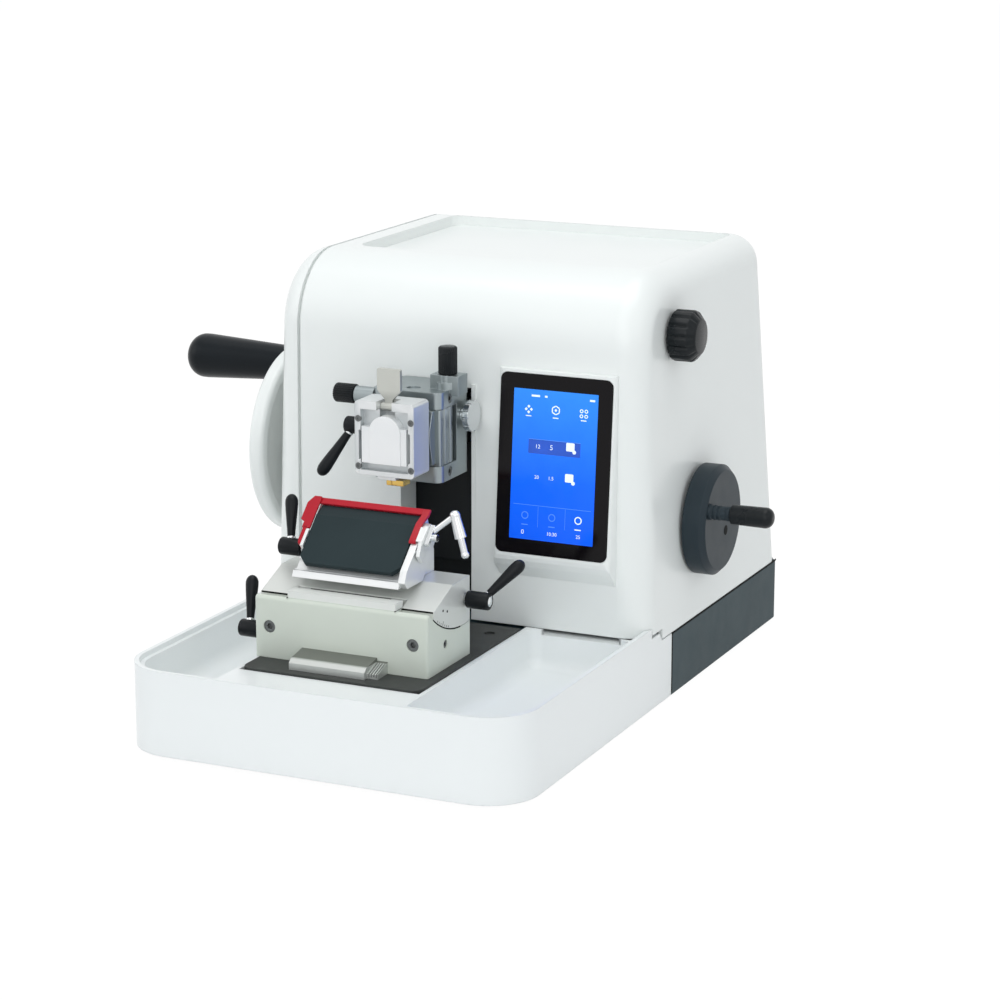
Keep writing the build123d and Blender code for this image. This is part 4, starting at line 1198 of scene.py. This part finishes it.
@dataclass
class SpecimenHead:
    """Closed sides of the specimen head, which turn with the pan axle."""

    across: tuple[float, float] = (-36.4, 13.8)
    back: tuple[float, float] = (-80.6, -59.2)
    up: tuple[float, float] = (183.2, 223.8)
    grooves: Outline = ((-74.6, -72.2), (-66.0, -64.0))  # front and rear of each
    groove_depth: float = 1.2
    groove_flank: float = 0.4
    yoke_across: tuple[float, float] = (-35.5, 10.2)
    yoke_side: Outline = (
        (-78.6, 185.2), (-85.6, 185.2), (-90.0, 203), (-90.0, 211), (-85.6, 223.8),
        (-78.6, 223.8),
    )

    def _outline(self) -> Outline:
        """Outline of the middle block from above, with the grooves in its right side.

        Returns:
            (x, y) points in millimetres.
        """
        x0, x1 = self.across
        y0, y1 = self.back
        points = [(x0 + 3, y1), (x0, y1 - 3), (x0, y0 + 1), (x0 + 1, y0)]
        points += [(x1 - 1, y0), (x1, y0 + 1)]
        deep = x1 - self.groove_depth
        for front, rear in self.grooves:
            points += [(x1, front), (deep, front + self.groove_flank)]
            points += [(deep, rear - self.groove_flank), (x1, rear)]
        return points + [(x1, y1 - 1.5), (x1 - 3, y1)]

    def build(self) -> None:
        """Make the middle block with its upright grooves, and the yoke cover."""
        block = Piece("pan_block_sides", "pan", HEAD_SILVER, "pan_block")
        block.skin([[at(x, y, z) for x, y in self._outline()] for z in self.up])
        block.build(bevel=0.3)
        cover = Piece("pan_block_yoke", "pan", HEAD_SILVER, "pan_block")
        cover.hull([(x, y, z) for x in self.yoke_across for y, z in self.yoke_side])
        cover.build(bevel=0.4)


@dataclass
class HolderTrim:
    """Painted shadow lines in the joints of the knife holder, and its small marks."""

    right: float = 55.4  # right side of the holder
    edge: tuple[float, float] = (-133.0, 162.0)  # Y and Z of the cutting edge
    # thin dark strips painted as the shadow in the gaps between the segment and the holder's base
    joint_shadow_lines: Sequence[tuple[Point, Point]] = (
        ((30.2, -187.4, 106.9), (30.8, -178.2, 107.25)),
        ((-52.9, -187.4, 106.9), (-52.3, -178.2, 107.25)),
        ((-40.0, -175.9, 111.9), (22.0, -175.0, 112.2)),
    )
    # dark strips painted as the shadow where the segment's foot meets the holder's top
    foot_shadow_lines: Sequence[tuple[Point, Point]] = (
        ((31.2, -178.4, 106.2), (54.9, -177.9, 107.3)),
        ((-77.4, -178.4, 106.2), (-53.2, -177.9, 107.3)),
    )
    # a dark arc painted as the shadow in the round seam
    seam_shadow_radii: tuple[float, float] = (75.2, 76.1)
    seam_shadow_degrees: tuple[float, float] = (232.6, 267.5)
    seam_shadow_steps: int = 20
    mark_start: float = 238.0
    mark_pitch: float = 2.4
    mark_count: int = 7
    mark_radii: tuple[float, float] = (73.4, 74.8)
    zero_mark: int = 3
    zero_radius: float = 71.6
    mark_half_width: float = 0.16
    dots: Outline = ((-157.0, 102.5), (-163.5, 104.5))

    def _around(self, degrees: float, radius: float, shift: float = 0.0) -> tuple[float, float]:
        """Y and Z of a point around the cutting edge.

        Args:
            degrees: Angle from the rear, upwards.
            radius: Distance from the edge in millimetres.
            shift: Distance along the arc in millimetres.

        Returns:
            The two coordinates in millimetres.
        """
        angle = math.radians(degrees)
        y = self.edge[0] + radius * math.cos(angle) - shift * math.sin(angle)
        z = self.edge[1] + radius * math.sin(angle) + shift * math.cos(angle)
        return y, z

    def _shadow_strips(self, piece: Piece, lines: Sequence[tuple[Point, Point]]) -> None:
        """Finish a piece of thin dark strips, painted as the shadow in a joint.

        Args:
            piece: The piece to draw into.
            lines: Opposite corners of each strip in millimetres.
        """
        for low, high in lines:
            piece.strip(low, high)
        piece.build(smooth=False)

    def _seam_shadow(self) -> None:
        """Painted shadow in the round seam between the holder's base and its segment."""
        seam = Piece("holder_round_seam_shadow", "holder", SHADOW_AND_PRINT_BLACK, "holder_base")
        start, stop = self.seam_shadow_degrees
        step = (stop - start) / self.seam_shadow_steps
        for k in range(self.seam_shadow_steps):
            corners = []
            for degrees in (start + k * step, start + (k + 1) * step):
                for radius in self.seam_shadow_radii:
                    spot = self._around(degrees, radius)
                    corners += [(self.right - 0.1, *spot), (self.right + 0.12, *spot)]
            seam.hull(corners)
        seam.build(smooth=False)

    def _marks(self) -> None:
        """The marks of the tilt scale and the two dots above them."""
        marks = Piece("tilt_scale_marks", "segment", SHADOW_AND_PRINT_BLACK, "tilt_segment")
        short, outer = self.mark_radii
        for k in range(self.mark_count):
            inner = self.zero_radius if k == self.zero_mark else short
            corners = []
            for radius in (inner, outer):
                for shift in (-self.mark_half_width, self.mark_half_width):
                    degrees = self.mark_start + self.mark_pitch * k
                    spot = self._around(degrees, radius, shift)
                    corners += [(self.right - 0.1, *spot), (self.right + 0.1, *spot)]
            marks.hull(corners)
        for spot in self.dots:
            dot = ((0, 0.9), (0.22, 0.9), (0.24, 0.5))
            marks.lathe(dot, (self.right - 0.1, *spot), (1, 0, 0), 16)
        marks.build(smooth=False)

    def build(self) -> None:
        """Make the painted shadow lines of the joints and of the round seam, and the marks of the
        tilt scale.
        """
        joint_shadows = Piece("holder_joint_shadow_lines", "holder", SHADOW_AND_PRINT_BLACK, "holder_base")
        self._shadow_strips(joint_shadows, self.joint_shadow_lines)
        foot = Piece("segment_foot_shadow_lines", "segment", SHADOW_AND_PRINT_BLACK, "tilt_segment")
        self._shadow_strips(foot, self.foot_shadow_lines)
        self._seam_shadow()
        self._marks()


@dataclass
class BaseGapShadows:
    """Painted shadow lines in the gaps where the base meets the tray and the housing."""

    half: float = 151.5  # half the width of the base
    front: float = 20.2
    rear: float = 247.0
    low: float = 5.5
    top: float = 51.8
    upright_width: float = 1.8
    long_width: float = 1.5
    sunk: float = 0.3
    proud: float = 0.08

    def build(self) -> None:
        """Make the upright line and the long line on both sides."""
        # black strips painted as the shadow in the gaps
        lines = Piece("base_gap_shadow_lines", "base", SHADOW_AND_PRINT_BLACK, "base_casting")
        for side in (-1, 1):
            x0 = side * (self.half - self.sunk)
            x1 = side * (self.half + self.proud)
            upright = (x1, self.front + self.upright_width, self.top)
            lines.strip((x0, self.front, self.low), upright)
            lines.strip((x0, self.front, self.top - self.long_width), (x1, self.rear, self.top))
        lines.build(smooth=False)


@dataclass
class CoarseWheelTrim:
    """Turned rings on the neck of the small crank, and a black disc beside it, painted as the
    shade in its bore.
    """

    neck: Point = (169.0, 47.224, 137.708)
    turned: Outline = (
        (0.0, 5.9), (2.2, 5.9), (2.6, 5.2), (4.0, 5.2), (4.3, 5.7), (5.6, 5.7), (5.9, 5.2),
        (7.6, 5.2), (7.9, 5.6), (9.2, 5.6), (9.5, 5.15), (13.8, 5.15), (14.1, 5.5),
        (16.6, 5.5),
    )
    # centre of the bore, where a black disc paints its shade
    bore: Point = (169.0, 81.5, 116.0)
    rim: Outline = ((-0.4, 3.2), (0.1, 3.7), (0.14, 3.2), (0.06, 1.4))

    def build(self) -> None:
        """Make the neck's rings, and the thin black disc with its rim painted as the shade in the
        bore.
        """
        rings = Piece("coarse_crank_rings", "coarse_drive", WHEEL_SLATE, "coarse_wheel")
        rings.lathe(self.turned, self.neck, (1, 0, 0), 40)
        rings.build()
        bore = Piece("coarse_wheel_bore_shade", "coarse_drive", SHADOW_AND_PRINT_BLACK, "coarse_wheel")
        bore.lathe(self.rim, self.bore, (1, 0, 0), 32)
        bore.build()


@dataclass(frozen=True)
class Lamp:
    """One square area lamp, in metres and watts."""

    name: str
    place: Point
    target: Point
    size: float
    power: float

    def build(self) -> None:
        """Put the lamp into the scene."""
        data = bpy.data.lights.new(self.name, "AREA")
        data.size = self.size
        data.energy = self.power
        look(placed(self.name, data), self.place, self.target)


@dataclass
class Studio:
    """Camera, soft lamps, pale floor and backdrop."""

    eye: Point = (886.24, -1881.04, 655.48)
    aim: Point = (139.91, -254.68, 211.65)
    lens: float = 104.877
    sensor: float = 36.0
    reach: float = 100.0  # metres
    lamps: Sequence[Lamp] = (
        Lamp("key", (0.2, -2.4, 1.8), (0, 0, 0.15), 2.0, 11.4),
        Lamp("front", (1.2, -2.4, 0.9), (0, 0, 0.15), 1.4, 8),
        Lamp("fill", (2.2, -0.7, 1.3), (0, 0, 0.15), 1.6, 4),
        Lamp("left", (-2.0, -1.2, 1.2), (0, 0, 0.15), 1.6, 7),
        Lamp("top", (0.1, -0.1, 2.4), (0, 0, 0.1), 1.8, 20.5),
    )
    sky: Colour = (0.93, 0.97, 1.0)
    sky_strength: float = 0.5
    floor_half: float = 8.0  # metres
    floor_grey: Colour = (0.9, 0.9, 0.9)
    floor_roughness: float = 0.9
    floor_glow: float = 1.05
    floor_glow_share: float = 0.93  # the rest keeps the object's shadow

    def camera(self) -> None:
        """Place the camera at the photograph's viewpoint."""
        data = bpy.data.cameras.new("camera")
        data.lens = self.lens
        data.sensor_width = self.sensor
        data.clip_end = self.reach
        made = placed("camera", data)
        look(made, at(*self.eye), at(*self.aim))
        bpy.context.scene.camera = made

    def seen(self, tree: Tree) -> Socket:
        """1 for camera, glossy and transmission rays, and 0 for the rest.

        Args:
            tree: The node tree to add to.

        Returns:
            The factor socket.
        """
        path = tree.nodes.new("ShaderNodeLightPath").outputs
        direct = math_node(tree, "MAXIMUM", path["Is Camera Ray"], path["Is Glossy Ray"])
        return math_node(tree, "MAXIMUM", direct, path["Is Transmission Ray"])

    def world(self) -> None:
        """White backdrop to the camera, soft grey light to the object."""
        made = bpy.data.worlds.new("studio")
        made.use_nodes = True
        bpy.context.scene.world = made
        tree = made.node_tree
        soft = tree.nodes["Background"]
        soft.inputs["Color"].default_value = (*self.sky, 1)
        soft.inputs["Strength"].default_value = self.sky_strength
        white = tree.nodes.new("ShaderNodeBackground")
        white.inputs["Color"].default_value = (*WHITE, 1)
        white.inputs["Strength"].default_value = 1.0
        sides = (soft.outputs["Background"], white.outputs["Background"])
        mixed = mix_shaders(tree, self.seen(tree), *sides)
        tree.links.new(mixed, tree.nodes["World Output"].inputs["Surface"])

    def floor_material(self) -> bpy.types.Material:
        """White to the camera, and pale grey in the object's shadow.

        Returns:
            The material.
        """
        made, tree, shader = blank_material("floor_white")
        shader.inputs["Base Color"].default_value = (*self.floor_grey, 1)
        shader.inputs["Roughness"].default_value = self.floor_roughness
        glow = tree.nodes.new("ShaderNodeEmission")
        glow.inputs["Strength"].default_value = self.floor_glow
        share = math_node(tree, "MULTIPLY", self.seen(tree), self.floor_glow_share)
        sides = (shader.outputs["BSDF"], glow.outputs["Emission"])
        mixed = mix_shaders(tree, share, *sides)
        tree.links.new(mixed, tree.nodes["Material Output"].inputs["Surface"])
        return made

    def floor(self) -> None:
        """A pale floor that keeps the object's soft shadow."""
        mesh = bmesh.new()
        h = self.floor_half
        corners = ((-h, -h), (h, -h), (h, h), (-h, h))
        mesh.faces.new([mesh.verts.new((x, y, 0)) for x, y in corners])
        data = bpy.data.meshes.new("floor")
        mesh.to_mesh(data)
        mesh.free()
        data.materials.append(self.floor_material())
        placed("floor", data)

    def build(self) -> None:
        """Set the whole studio up."""
        self.camera()
        for lamp in self.lamps:
            lamp.build()
        self.world()
        self.floor()
        bpy.context.scene.view_settings.view_transform = "Standard"


@dataclass
class Dresser:
    """Gives every CAD node its finish."""

    nodes: dict[str, bpy.types.Object]

    def build(self) -> None:
        """Put each node's finish into all its material slots."""
        for name, node in self.nodes.items():
            finish = FINISH_OF_NODE[name]
            material = finish.material()
            for slot in node.material_slots:
                slot.material = material
            if not node.material_slots:
                node.data.materials.append(material)
            log.info("node %s wears %s", name, finish.name)


def levers() -> list[Lever]:
    """The four clamping levers."""
    return [
        Lever(
            "head_clamp_lever", "head_lever", hub=(-53, -41.2), pivot=(-95, 211), root=-47,
            arm=(-22, -12.5, -36.2), length=44,
        ),
        Lever(
            "base_lock_lever", "holder_lever", hub=(-99, -80), pivot=(-170, 76), root=-92,
            arm=(-5, 14, 35), length=38, shaft=(-80.2, -67),
        ),
        Lever(
            "segment_lever", "tilt_lever", hub=(57, 74.3), pivot=(-128, 104), root=68,
            arm=(22, 19, 25), length=40, shaft=(42.6, 57.2),
        ),
        Lever(
            "blade_lever", "press_lever", hub=(-77, -59.5), pivot=(-150, 133), root=-69,
            arm=(-7, 15, 33), length=38, shaft=(-59.7, -43.2),
        ),
    ]


def knurled_knobs() -> list[KnurledKnob]:
    """The two adjusting knobs of the specimen head."""
    return [
        KnurledKnob(
            "tilt_knob", "tilt_adjuster", start=(10, -60, 246.2), axis=(0, 0, 1),
            length=20.3, radius=6.8, shank=9.0,
        ),
        KnurledKnob(
            "pan_knob", "pan_adjuster", start=(-54.9, -75, 229), axis=(-1, 0, 0),
            length=16.8, radius=7.0, shank=15.5,
        ),
    ]


def main() -> None:
    """Dress the frame, add the trim, and set up the studio."""
    logging.basicConfig(level=logging.INFO, format="%(message)s")
    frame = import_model()
    Studio().build()
    Dresser(frame["nodes"]).build()
    Screen().build()
    for lever in levers():
        lever.build()
    FingerGuard().build()
    SpecimenHead().build()
    HolderTrim().build()
    BaseGapShadows().build()
    CoarseWheelTrim().build()
    FlutedKnob().build()
    for knob in knurled_knobs():
        knob.build()


if __name__ == "__main__":
    main()
